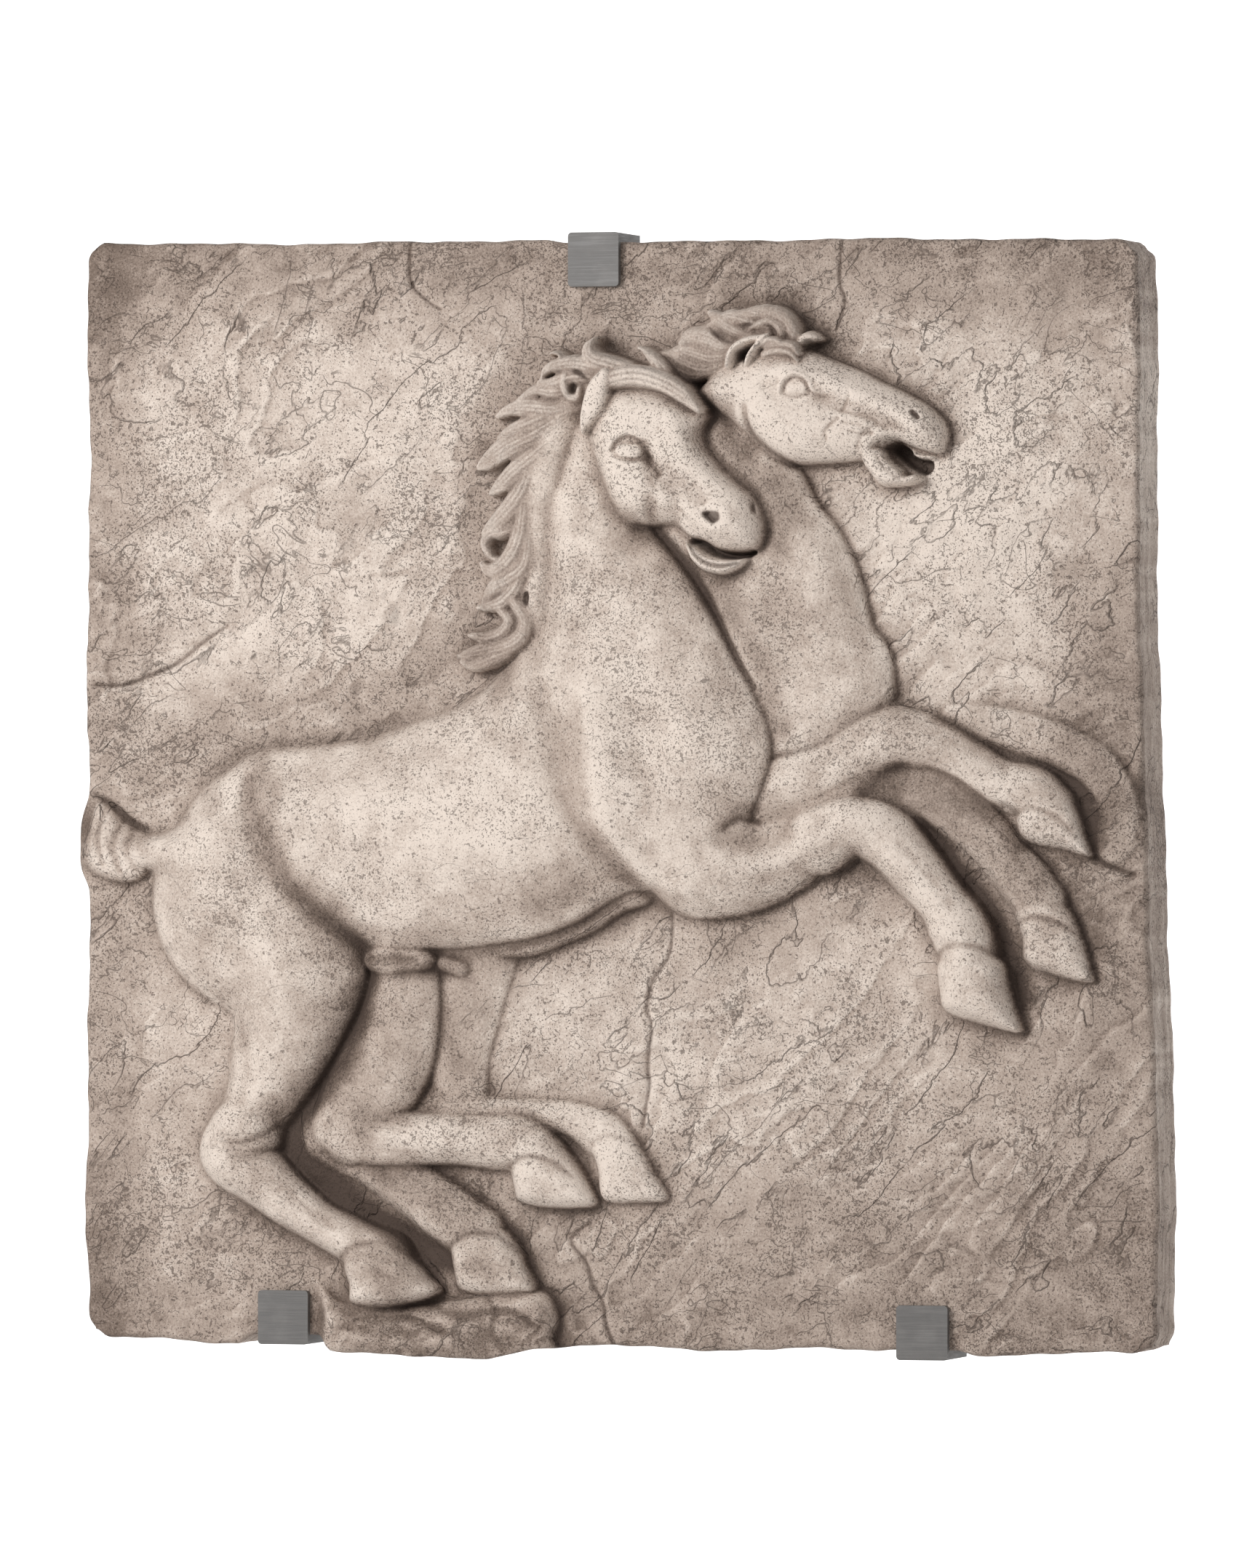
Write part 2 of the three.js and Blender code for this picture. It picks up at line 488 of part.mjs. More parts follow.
// near horse: bed of hair along the neck
mass([[480, 885], [450, 880], [420, 850], [400, 812], [392, 772], [396, 720], [392, 680], [384, 652],
  [378, 634], [396, 634], [416, 662], [420, 700], [418, 750], [432, 806], [444, 838], [480, 850]], 28, 22,
  { groove: 2 });
lock([[395, 628, 6, 31], [378, 622, 7, 28], [362, 617, 5, 23], [351, 620, 2, 19]]);
lock([[388, 668, 5, 29], [397, 657, 6, 30], [390, 646, 7, 27], [375, 641, 6, 23], [358, 644, 2, 19]]);
lock([[402, 674, 6, 33], [412, 658, 7, 33], [408, 643, 8, 33], [392, 633, 8, 29], [370, 629, 7, 24],
  [348, 625, 2, 19]]);
lock([[412, 702, 6, 33], [402, 685, 7, 32], [391, 675, 7, 29], [380, 671, 5, 25], [367, 669, 2, 21]]);
lock([[417, 738, 6, 34], [413, 709, 8, 34], [398, 695, 9, 31], [383, 687, 7, 27], [372, 674, 2, 21]]);
lock([[405, 744, 5, 30], [391, 738, 6, 28], [378, 736, 5, 26], [373, 726, 4, 24], [379, 715, 3, 23],
  [387, 713, 2, 22]]);
lock([[412, 764, 7, 34], [409, 738, 9, 34], [400, 716, 9, 32], [388, 704, 8, 28], [377, 703, 5, 24],
  [370, 709, 2, 21]]);
lock([[420, 802, 6, 35], [412, 779, 9, 34], [398, 759, 9, 31], [384, 745, 7, 26], [372, 737, 2, 21]]);
lock([[444, 830, 6, 38], [428, 812, 8, 36], [408, 796, 9, 33], [392, 782, 7, 28], [379, 772, 2, 21]]);
lock([[456, 846, 6, 40], [435, 834, 9, 38], [412, 822, 10, 34], [390, 811, 9, 29], [376, 801, 6, 25],
  [368, 796, 2, 21]]);
lock([[452, 848, 5, 40], [425, 839, 7, 37], [402, 830, 6, 33], [387, 823, 2, 25]]);
lock([[464, 851, 6, 42], [440, 848, 8, 40], [416, 850, 8, 36], [398, 848, 5, 31], [386, 842, 2, 24]]);
lock([[460, 866, 6, 43], [440, 864, 7, 41], [424, 866, 5, 37], [406, 857, 2, 29]]);
lock([[477, 877, 6, 46], [456, 876, 8, 44], [440, 871, 6, 41], [426, 873, 2, 35]]);
lock([[482, 884, 6, 47], [463, 889, 7, 46], [445, 888, 6, 43], [434, 884, 4, 39], [429, 877, 2, 35]]);
lock([[449, 888, 3, 42], [448, 896, 2.6, 41], [442, 899, 2.2, 40], [436, 898, 1.4, 38]]);
lock([[508, 882, 8, 49], [492, 887, 8, 48], [477, 893, 7, 46], [473, 903, 5, 43], [479, 912, 1.6, 39]]);
lock([[560, 868, 6, 49], [545, 880, 8, 48], [535, 892, 7, 45], [527, 901, 4, 42], [520, 904, 1.5, 39]]);
// leaf shaped loop beside the ear
lock([[452, 880, 3, 47], [451, 870, 4.5, 48], [456, 860, 4.5, 49], [464, 858, 4, 49], [466, 866, 3, 48]]);
hollow([[409, 676], [411, 683], [416, 684], [417, 676], [414, 669]], 7, 30);
// far horse: bed and waves of the mane
mass([[540, 896], [560, 912], [585, 930], [620, 936], [655, 932], [668, 912], [640, 900], [605, 890],
  [580, 874], [560, 878]], 24, 12, { groove: 3 });
lock([[586, 882, 5, 28], [570, 878, 6, 27], [556, 884, 5, 25], [542, 892, 2, 21]]);
lock([[600, 888, 6, 31], [580, 884, 8, 30], [562, 890, 7, 28], [548, 896, 5, 25], [534, 897, 2, 22]]);
lock([[606, 896, 7, 34], [588, 894, 9, 33], [570, 899, 8, 31], [558, 901, 4, 27], [545, 898, 2, 24]]);
lock([[612, 903, 5, 35], [598, 903, 8, 35], [584, 909, 10, 34], [569, 912, 8, 31], [559, 907, 3, 27]]);
lock([[632, 912, 5, 35], [618, 914, 6, 34], [604, 921, 7, 33], [594, 928, 6, 31], [586, 934, 3, 27]]);
lock([[640, 920, 5, 35], [628, 922, 5, 35], [616, 928, 6, 34], [603, 930, 6, 31], [590, 925, 3, 27],
  [584, 921, 2, 24]]);
lock([[664, 904, 6, 35], [662, 917, 7, 35], [651, 929, 8, 34], [634, 933, 7, 33], [618, 932, 5, 31],
  [606, 934, 2, 27]]);
lock([[654, 908, 5, 37], [652, 919, 5, 37], [643, 926, 4, 36], [632, 923, 4, 35], [624, 919, 2, 33]]);
mass([[572, 862], [580, 874], [590, 883], [612, 896], [640, 904], [665, 904], [690, 894], [720, 882],
  [740, 872], [762, 862], [784, 850], [797, 838], [802, 828], [802, 818], [797, 807], [782, 808], [768, 813],
  [757, 817], [746, 812], [736, 800], [715, 799], [685, 797], [656, 797], [634, 808], [612, 826],
  [588, 846]], 36, 27, { groove: 6, base: 6, power: 2.0 });
mass([[728, 815], [744, 812], [752, 800], [762, 792], [766, 786], [777, 788], [780, 783], [772, 778],
  [758, 776], [744, 777], [734, 787], [726, 800]], 30, 9, { groove: 4, base: 8 });
// jowl: a round disc whose back edge is cut in, and the throat behind it falls away
lump([660, 836], [42, 38], 3.0, 36);
press([[620, 848, 3.4], [621, 834, 4], [626, 822, 4.4], [636, 812, 4.4], [650, 803, 4],
  [662, 797, 3]], 4.4, 34);
press([[604, 850, 12], [608, 830, 12], [622, 812, 10]], 2.6, 32);
// brow, socket, eye
lump([668, 880], [26, 8, -8], 2.2, 37);
lump([669, 865], [17, 12], -2.0, 37);
limb([[663, 866, 6.5, 38.4], [674, 866, 6.5, 38.4]], { blend: 0.6, base: 33, power: 2.0 });
press([[640, 868, 5], [648, 860, 5], [656, 856, 4]], 1.2, 37);
// bridge, cheek bone and the muscles of the muzzle
press([[700, 872, 8], [730, 860, 8], [760, 846, 7]], -1.2, 36);
press([[690, 856, 7], [720, 848, 8], [748, 838, 8], [764, 828, 6]], 2.0, 36);
press([[730, 806, 3], [736, 816, 3.4], [746, 823, 3.4], [760, 824, 3]], -1.6, 35);
// nostril and lips
lump([779, 842], [9, 9], 1.8, 36);
hollow([[747, 811], [756, 816], [765, 812], [776, 803], [786, 801], [789, 793], [781, 786], [770, 790],
  [761, 796], [753, 803]], 20, 30);
press([[768, 805, 2.6], [780, 803, 2.8], [790, 803, 2.2]], -7, 26);
// near ear: a curled leaf with a dark bowl, and the far ear's tip behind
limb([[668, 905, 5, 27], [676, 911, 6.5, 30], [684, 911, 4, 28], [689, 910, 1.5, 26]],
  { blend: 0.8, groove: 2 });
limb([[604, 886, 4, 40], [606, 896, 4, 43], [613, 904, 4.6, 45], [624, 909, 4, 44], [634, 911, 3, 42],
  [642, 914, 1.5, 40]], { blend: 0.8, groove: 3, base: 20 });
limb([[621, 887, 3, 40], [625, 896, 3.4, 42], [632, 905, 3.2, 42], [641, 913, 1.6, 40]],
  { blend: 0.8, groove: 1, base: 24 });
hollow([[609, 890], [610, 898], [616, 902], [624, 905], [622, 896], [619, 889], [614, 891]], 7, 42);
// curls of the forelock over the brow
lock([[640, 903, 4, 40], [652, 905, 4, 41], [664, 903, 4, 41], [670, 896, 2, 39]]);
lock([[638, 896, 4, 40], [650, 899, 3.6, 41], [662, 897, 3.4, 41], [669, 890, 1.6, 39]]);
lock([[636, 904, 3, 40], [642, 909, 3, 41], [650, 908, 3, 41], [657, 905, 1.6, 40]]);
mass([[492, 872], [528, 870], [556, 862], [574, 852], [584, 842], [579, 828], [582, 814], [591, 802],
  [601, 791], [613, 781], [624, 772], [632, 760], [636, 747], [636, 734], [631, 722], [622, 717], [606, 715],
  [592, 717], [580, 723], [567, 728], [556, 735], [546, 741], [528, 741], [510, 742], [496, 750], [486, 764],
  [478, 784], [468, 812], [466, 840]], 53, 33,
  { groove: 8, reach: 5, base: 10, power: 2.0, slope: [0.03, -0.01] });
// chin and lower lip, a ring that opens to the right
mass([[562, 730], [566, 716], [572, 707], [582, 700], [598, 697], [610, 701], [618, 707], [620, 713],
  [604, 713], [590, 715], [578, 721], [570, 728]], 45, 6, { groove: 4, base: 16 });
// skull planes: forehead, nose bridge, side of the face
lump([530, 842], [30, 18], 2.0, 53);
press([[552, 838, 9], [572, 806, 9], [596, 782, 8], [616, 764, 7]], -2.0, 53);
press([[536, 800, 9], [556, 786, 11], [576, 770, 10], [586, 760, 7]], 3.0, 53);
press([[497, 796, 7], [514, 790, 8], [532, 778, 7], [548, 764, 6]], -2.2, 53);
lump([514, 768], [24, 20, -30], 1.6, 53);
press([[470, 812, 8], [480, 784, 8], [494, 760, 8], [516, 746, 6]], 2.2, 50);
press([[545, 782, 7], [540, 766, 8], [534, 750, 6]], 2.6, 52);
press([[556, 774, 8], [566, 758, 8], [566, 746, 6]], 1.8, 52);
// socket, eye and lids
lump([515, 810], [19, 14], -2.6, 54);
press([[494, 812, 4], [504, 825, 4.5], [516, 828, 4.5], [528, 822, 4]], -2.4, 54);
limb([[508, 809, 7, 55], [519, 809, 7, 55]], { blend: 0.6, base: 48, power: 2.0 });
press([[528, 804, 4], [534, 796, 4.5], [541, 788, 3.5]], 2.6, 54);
press([[528, 818, 4], [531, 808, 4], [532, 800, 3]], 2.0, 54);
// nostrils
lump([593, 750], [13, 12], 2.4, 52);
hollow([[583, 752], [587, 756], [594, 756], [600, 754], [601, 747], [596, 743], [591, 744],
  [587, 747]], 7.5, 52);
// mouth: gap under the upper lip, groove behind the lower lip
press([[568, 728, 1.8], [578, 726, 2.4], [588, 719, 2.8], [600, 715, 3.0], [613, 714, 2.8],
  [624, 718, 1.8]], 11, 48);
// ear, laid back, a leaf that hangs from the poll
limb([[488, 884, 5, 53], [484, 868, 11, 57], [478, 850, 10.5, 57], [476, 838, 6, 55], [479, 829, 2, 52]],
  { blend: 0.8, groove: 3, base: 36 });
press([[492, 874, 3], [492, 860, 3.4], [488, 846, 3], [482, 834, 2]], 1.8, 56);
// forelock swept over the forehead
limb([[492, 875, 8, 53], [520, 874, 9.5, 56], [545, 868, 9, 55], [562, 857, 7, 52], [580, 845, 2.5, 49]],
  { blend: 2.0, groove: 1.2, base: 46, power: 1.6 });

// worn: each height shares a little with its neighbours
function wear(passes) {
  const cross = [[1, 0], [0, 1]];
  for (let pass = 0; pass < passes; pass++) {
    for (const [di, dj] of cross) {
      const before = Float64Array.from(height);
      for (let j = 0; j < gridSide; j++) {
        for (let i = 0; i < gridSide; i++) {
          const behind = clamp(j - dj, 0, gridSteps) * gridSide + clamp(i - di, 0, gridSteps);
          const ahead = clamp(j + dj, 0, gridSteps) * gridSide + clamp(i + di, 0, gridSteps);
          height[j * gridSide + i] = (before[behind] + 2 * before[j * gridSide + i] + before[ahead]) / 4;
        }
      }
    }
  }
}
wear(wearPasses);

// the seats of the clips are flat, and so is everything in front of them
for (const seat of seats) {
  const depth = (clipFace + 3) * perMmV;
  for (let k = 0; k < height.length; k++) {
    const inward = seat.upper ? seat.edge - sheetV[k] : sheetV[k] - seat.edge;
    const cover = onSeat(sheetU[k], seat) * (1 - ease(clamp((inward - depth) / seatFade, 0, 1)));
    height[k] *= 1 - cover;
    if (cover > 0) care[k] = 14;
  }
}

// the rounded rim, then the carving in millimetres
const frontPoint = [];
for (let j = 0; j < gridSide; j++) {
  for (let i = 0; i < gridSide; i++) {
    const k = j * gridSide + i;
    const [s, t] = [i / gridSteps, j / gridSteps];
    const inMm = Math.min(Math.min(s, 1 - s) * panelWidth, Math.min(t, 1 - t) * panelHeight);
    const drop = inMm < rimRounding ? rimRounding - Math.sqrt(rimRounding ** 2 - (rimRounding - inMm) ** 2) : 0;
    frontPoint.push(new THREE.Vector3(
      (sheetU[k] - sheetMiddle) / perMmU,
      -(slabThickness + height[k] / perMmRise - drop),
      (sheetV[k] / sheetHeight - 0.5) * panelHeight,
    ));
  }
}

// faces matter most
near([[470, 690], [810, 910]], 0, (k) => { care[k] = Math.max(care[k], 1.5); });

// Right-angled triangles halved along their long side until each follows the carving.
// A side's midpoint carries the error of everything below it, so neighbours always meet.
const misfit = new Float64Array(gridSide * gridSide);
const triangleCount = gridSteps * gridSteps * 2 - 2;
for (let n = triangleCount - 1; n >= 0; n--) {
  let id = n + 2;
  let [ax, ay, bx, by, cx, cy] = id & 1 ? [0, 0, gridSteps, gridSteps, gridSteps, 0] : [gridSteps, gridSteps, 0, 0, 0, gridSteps];
  while ((id >>= 1) > 1) {
    const [mx, my] = [(ax + bx) >> 1, (ay + by) >> 1];
    if (id & 1) [bx, by, ax, ay] = [ax, ay, cx, cy];
    else [ax, ay, bx, by] = [bx, by, cx, cy];
    [cx, cy] = [mx, my];
  }
  const [mx, my] = [(ax + bx) >> 1, (ay + by) >> 1];
  const m = my * gridSide + mx;
  const [a, b] = [frontPoint[ay * gridSide + ax], frontPoint[by * gridSide + bx]];
  const slope = Math.abs(a.y - b.y) / Math.hypot(a.x - b.x, a.z - b.z);
  const error = frontPoint[m].distanceTo(a.clone().add(b).multiplyScalar(0.5)) / Math.hypot(1, slope);
  misfit[m] = Math.max(misfit[m], error * care[m]);
  if (n < triangleCount - gridSteps * gridSteps) {
    const left = ((ay + cy) >> 1) * gridSide + ((ax + cx) >> 1);
    const right = ((by + cy) >> 1) * gridSide + ((bx + cx) >> 1);
    misfit[m] = Math.max(misfit[m], misfit[left], misfit[right]);
  }
}

const points = [];
const faces = [];
const pointOf = new Map();
const keep = (i, j) => {
  const k = j * gridSide + i;
  if (!pointOf.has(k)) {
    pointOf.set(k, points.length);
    points.push(frontPoint[k]);
  }
  return pointOf.get(k);
};
function split(ax, ay, bx, by, cx, cy) {
  const [mx, my] = [(ax + bx) >> 1, (ay + by) >> 1];
  if (Math.abs(ax - cx) + Math.abs(ay - cy) > 1 && misfit[my * gridSide + mx] > carvingTolerance) {
    split(cx, cy, ax, ay, mx, my);
    split(bx, by, cx, cy, mx, my);
  } else {
    faces.push([keep(ax, ay), keep(cx, cy), keep(bx, by)]);
  }
}
split(0, 0, gridSteps, gridSteps, gridSteps, 0);
split(gridSteps, gridSteps, 0, 0, 0, gridSteps);

// the rim in order, anticlockwise from the front, and the two rings behind it
const rim = [];
for (let i = 0; i < gridSteps; i++) if (pointOf.has(i)) rim.push([i, 0]);
for (let j = 0; j < gridSteps; j++) if (pointOf.has(j * gridSide + gridSteps)) rim.push([gridSteps, j]);
for (let i = gridSteps; i > 0; i--) if (pointOf.has(gridSteps * gridSide + i)) rim.push([i, gridSteps]);
for (let j = gridSteps; j > 0; j--) if (pointOf.has(j * gridSide)) rim.push([0, j]);
const ringAt = (y) => rim.map(([i, j]) => {
  const [u, v] = fitted(i / gridSteps, j / gridSteps, 0);
  points.push(new THREE.Vector3((u - sheetMiddle) / perMmU, y, (v / sheetHeight - 0.5) * panelHeight));
  return points.length - 1;
});
const frontRing = rim.map(([i, j]) => pointOf.get(j * gridSide + i));
const tuckRing = ringAt(-(slabThickness - overhangDepth));
const backRing = ringAt(0);
const bridge = (outer, inner) => outer.forEach((p, n) => {
  const m = (n + 1) % outer.length;
  faces.push([p, inner[n], outer[m]], [outer[m], inner[n], inner[m]]);
});
bridge(frontRing, tuckRing);
bridge(tuckRing, backRing);
points.push(new THREE.Vector3(0, 0, 0));
backRing.forEach((p, n) => faces.push([p, points.length - 1, backRing[(n + 1) % rim.length]]));

function asGeometry(pointList, faceList) {
  const geometry = new THREE.BufferGeometry();
  geometry.setAttribute("position", new THREE.Float32BufferAttribute(pointList.flatMap((p) => [p.x, p.y, p.z]), 3));
  geometry.setIndex(faceList.flat());
  geometry.computeVertexNormals();
  return geometry;
}
const panelGeometry = asGeometry(points, faces);

// A clip: a plate with rounded corners in front, and an arm over the slab's edge back to the wall
const wasm = await Module();
wasm.setup();

function toSolid(geometry) {
  const plain = geometry.clone();
  plain.deleteAttribute("normal");
  plain.deleteAttribute("uv");
  const merged = mergeVertices(plain, 1e-4);
  return new wasm.Manifold(new wasm.Mesh({
    numProp: 3,
    vertProperties: new Float32Array(merged.attributes.position.array),
    triVerts: new Uint32Array(merged.index.array),
  }));
}
function toGeometry(solid) {
  const mesh = solid.getMesh();
  const geometry = new THREE.BufferGeometry();
  geometry.setAttribute("position", new THREE.BufferAttribute(new Float32Array(mesh.vertProperties), 3));
  geometry.setIndex(new THREE.BufferAttribute(new Uint32Array(mesh.triVerts), 1));
  geometry.computeVertexNormals();
  return geometry;
}

// built for an upper edge at z = 0: the plate hangs down over the face, the arm lies on the edge
function clipGeometry() {
  const half = clipWidth / 2;
  const top = clearance + clipArmThickness;
  const shape = new THREE.Shape();
  shape.moveTo(-half + clipCorner, -clipFace);
  shape.lineTo(half - clipCorner, -clipFace);
  shape.absarc(half - clipCorner, -clipFace + clipCorner, clipCorner, -Math.PI / 2, 0, false);
  shape.lineTo(half, top - clipCorner);
  shape.absarc(half - clipCorner, top - clipCorner, clipCorner, 0, Math.PI / 2, false);
  shape.lineTo(-half + clipCorner, top);
  shape.absarc(-half + clipCorner, top - clipCorner, clipCorner, Math.PI / 2, Math.PI, false);
  shape.lineTo(-half, -clipFace + clipCorner);
  shape.absarc(-half + clipCorner, -clipFace + clipCorner, clipCorner, Math.PI, Math.PI * 1.5, false);
  const plate = new THREE.ExtrudeGeometry(shape, { depth: clipThickness, bevelEnabled: false, curveSegments: 4 });
  plate.rotateX(Math.PI / 2);
  plate.translate(0, -(slabThickness + clearance), 0);
  const armLength = slabThickness + clearance + clipThickness / 2;
  const arm = new THREE.BoxGeometry(clipWidth - 2 * clipCorner, armLength, clipArmThickness);
  arm.translate(0, -armLength / 2, clearance + clipArmThickness / 2);
  return toGeometry(toSolid(plate).add(toSolid(arm)));
}

const panelMaterial = new THREE.MeshStandardMaterial({ color: 0xb3a394, roughness: 0.85, metalness: 0 });
const clipMaterial = new THREE.MeshStandardMaterial({ color: 0x5b5a58, roughness: 0.55, metalness: 0.2 });

const group = new THREE.Group();
const panel = new THREE.Mesh(panelGeometry, panelMaterial);
panel.name = "relief_panel";
group.add(panel);
for (const seat of seats) {
  const clip = new THREE.Mesh(clipGeometry(), clipMaterial);
  clip.name = seat.name;
  clip.position.set((seat.middle - sheetMiddle) / perMmU, 0, (seat.edge / sheetHeight - 0.5) * panelHeight);
  if (!seat.upper) {
    clip.geometry.rotateY(Math.PI);
  }
  group.add(clip);
}

export default group;
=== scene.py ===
import math
import bpy
import numpy as np
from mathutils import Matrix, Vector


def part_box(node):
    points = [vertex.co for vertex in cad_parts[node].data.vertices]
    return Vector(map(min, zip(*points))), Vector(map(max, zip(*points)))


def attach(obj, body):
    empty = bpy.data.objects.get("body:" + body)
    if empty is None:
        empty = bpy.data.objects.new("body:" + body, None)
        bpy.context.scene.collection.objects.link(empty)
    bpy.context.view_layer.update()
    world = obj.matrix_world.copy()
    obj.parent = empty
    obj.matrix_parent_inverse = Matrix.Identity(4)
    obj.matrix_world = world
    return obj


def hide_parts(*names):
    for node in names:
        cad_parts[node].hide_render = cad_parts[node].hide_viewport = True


# Horse wall plaque: the casting's fine relief, its stone finish, the painted clips, camera and light.
# Metres, +Z up, the wall behind the plaque is the plane y = 0 and the horses look out along -Y.

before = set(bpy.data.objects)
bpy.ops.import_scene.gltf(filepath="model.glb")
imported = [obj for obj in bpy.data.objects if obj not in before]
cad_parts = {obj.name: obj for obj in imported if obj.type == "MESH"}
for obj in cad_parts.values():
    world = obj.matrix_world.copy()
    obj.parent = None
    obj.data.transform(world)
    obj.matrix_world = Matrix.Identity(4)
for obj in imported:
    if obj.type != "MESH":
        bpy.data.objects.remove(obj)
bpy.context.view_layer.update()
panelLow, panelHigh = (np.array(corner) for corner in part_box("relief_panel"))
print("frame loaded")

# The drawing sheet: stations are in thousandths of the sheet, u to the right and v up,
# then the half width of the form there and its height off the slab's face.
sheetWidth = 995
sheetHeight = 1000
sheetMiddle = 489  # station in the middle of the panel's width
sheetRise = 54  # station height that stands at the carving's full depth
viewLean = 0.144  # stations were read from the right, so a raised one moves right by this share

casting = dict(
    width=0.836,
    height=0.840,
    slab=0.064,  # thickness behind the ground
    carving=0.045,  # height of the relief over the slab's face
    rim=0.005,  # rounding of the face's edge
    overhang=0.024,  # how far back the tail and the rock tuck in to the plain outline
    steps=1024,  # cells of the carved sheet each way
    triangles=176000,  # most triangles on the face
)
clipPlate = dict(
    width=0.040,
    face=0.034,
    besides=0.004,  # how far its flat seat reaches out to the sides
    beyond=0.003,  # and past the plate's end
)
perMetre = sheetWidth / casting["width"]


def ease(x):
    # smooth step of a share from 0 to 1
    return x * x * (3 - 2 * x)


def bump(x, middle, reach):
    # bell curve about the middle
    return np.exp(-((x - middle) / reach) ** 2)


def throughStations(stations, closed=False, steps=6):
    # Catmull-Rom curve through the stations, all columns at once
    p = np.asarray(stations, float)
    if closed:
        around = np.vstack([p[-1:], p, p[:2]])
        spans = len(p)
    else:
        around = np.vstack([2 * p[:1] - p[1:2], p, 2 * p[-1:] - p[-2:-1]])
        spans = len(p) - 1
    t = (np.arange(steps) / steps)[None, :, None]
    a, b, c, d = (around[k:k + spans, None, :] for k in range(4))
    curve = 0.5 * (2 * b + (c - a) * t + (2 * a - 5 * b + 4 * c - d) * t ** 2
                   + (3 * b - 3 * c + d - a) * t ** 3)
    curve = curve.reshape(-1, p.shape[1])
    return curve if closed else np.vstack([curve, p[-1:]])


latticeCells = 64
latticeStart = (100.3, 100.7)  # shift of every place over the lattice


def valueNoise(u, v, size, seed):
    # random heights on a lattice, eased from one to the next: -1 to 1
    lattice = np.random.default_rng(seed).uniform(-1, 1, (latticeCells, latticeCells))
    x = u / size + latticeStart[0]
    y = v / size + latticeStart[1]
    i = np.floor(x).astype(int)
    j = np.floor(y).astype(int)
    fx = ease(x - i)
    fy = ease(y - j)
    left, right = i % latticeCells, (i + 1) % latticeCells
    below, above = j % latticeCells, (j + 1) % latticeCells
    low = lattice[below, left] * (1 - fx) + lattice[below, right] * fx
    high = lattice[above, left] * (1 - fx) + lattice[above, right] * fx
    return low * (1 - fy) + high * fy


def nearestOnPath(u, v, path):
    # distance to the path in half widths, with the rise, side and run at the nearest place
    share = np.full(u.shape, 1e9)
    rise = np.zeros(u.shape)
    width = np.ones(u.shape)
    side = np.zeros(u.shape)
    run = np.zeros(u.shape)
    far = 0.0
    for a, b in zip(path[:-1], path[1:]):
        du, dv = b[0] - a[0], b[1] - a[1]
        length = np.hypot(du, dv) + 1e-6
        t = np.clip(((u - a[0]) * du + (v - a[1]) * dv) / length ** 2, 0, 1)
        w = np.maximum(a[2] + t * (b[2] - a[2]), 0.4)
        here = np.hypot(u - a[0] - t * du, v - a[1] - t * dv) / w
        nearer = here < share
        share = np.where(nearer, here, share)
        rise = np.where(nearer, a[3] + t * (b[3] - a[3]), rise)
        width = np.where(nearer, w, width)
        side = np.where(nearer, (du * (v - a[1]) - dv * (u - a[0])) / length, side)
        run = np.where(nearer, far + t * length, run)
        far += length
    return share, rise, width, side, run


def insideOutline(u, v, line):
    # signed distance to a closed outline, positive inside
    nearest = np.full(u.shape, 1e18)
    inside = np.zeros(u.shape, bool)
    for a, b in zip(line, np.roll(line, -1, axis=0)):
        e = b - a
        t = np.clip(((u - a[0]) * e[0] + (v - a[1]) * e[1]) / (e @ e + 1e-9), 0, 1)
        nearest = np.minimum(nearest, (u - a[0] - t * e[0]) ** 2 + (v - a[1] - t * e[1]) ** 2)
        if a[1] != b[1]:
            crossing = a[0] + e[0] * (v - a[1]) / e[1]
            inside ^= ((a[1] > v) != (b[1] > v)) & (u < crossing)
    return np.where(inside, 1, -1) * np.sqrt(nearest)


def softened(a, reach):
    # two box averages each way, from running totals
    for axis in (0, 1, 0, 1):
        pad = [(reach + 1, reach) if k == axis else (0, 0) for k in (0, 1)]
        total = np.cumsum(np.pad(a, pad, mode="edge"), axis=axis)
        n = total.shape[axis]
        ahead = np.take(total, range(2 * reach + 1, n), axis=axis)
        behind = np.take(total, range(0, n - 2 * reach - 1), axis=axis)
        a = (ahead - behind) / (2 * reach + 1)
    return a


def crown(s, power):
    # rounded cross-section: 1 in the middle, 0 at the edge
    return np.sqrt(np.clip(1 - np.clip(s, 0, 1) ** power, 0, 1))


def blended(a, b, k):
    # the higher of two heights, with a small fillet of width k
    h = np.clip(0.5 + 0.5 * (a - b) / k, 0, 1)
    return b + (a - b) * h + k * h * (1 - h)


carvingLook = dict(
    grooveShare=0.45,  # how much of each contour's groove is left open
    contourShade=0.66,  # painted shade along a contour, with the brown wash
    strandShade=1.0,  # painted shade in the lines of the hair, with the brown wash
    leftShare=0.1,  # what stays of groove and painted shade where a contour faces left, towards the light
)
unlaid = -60.0  # lower than any form


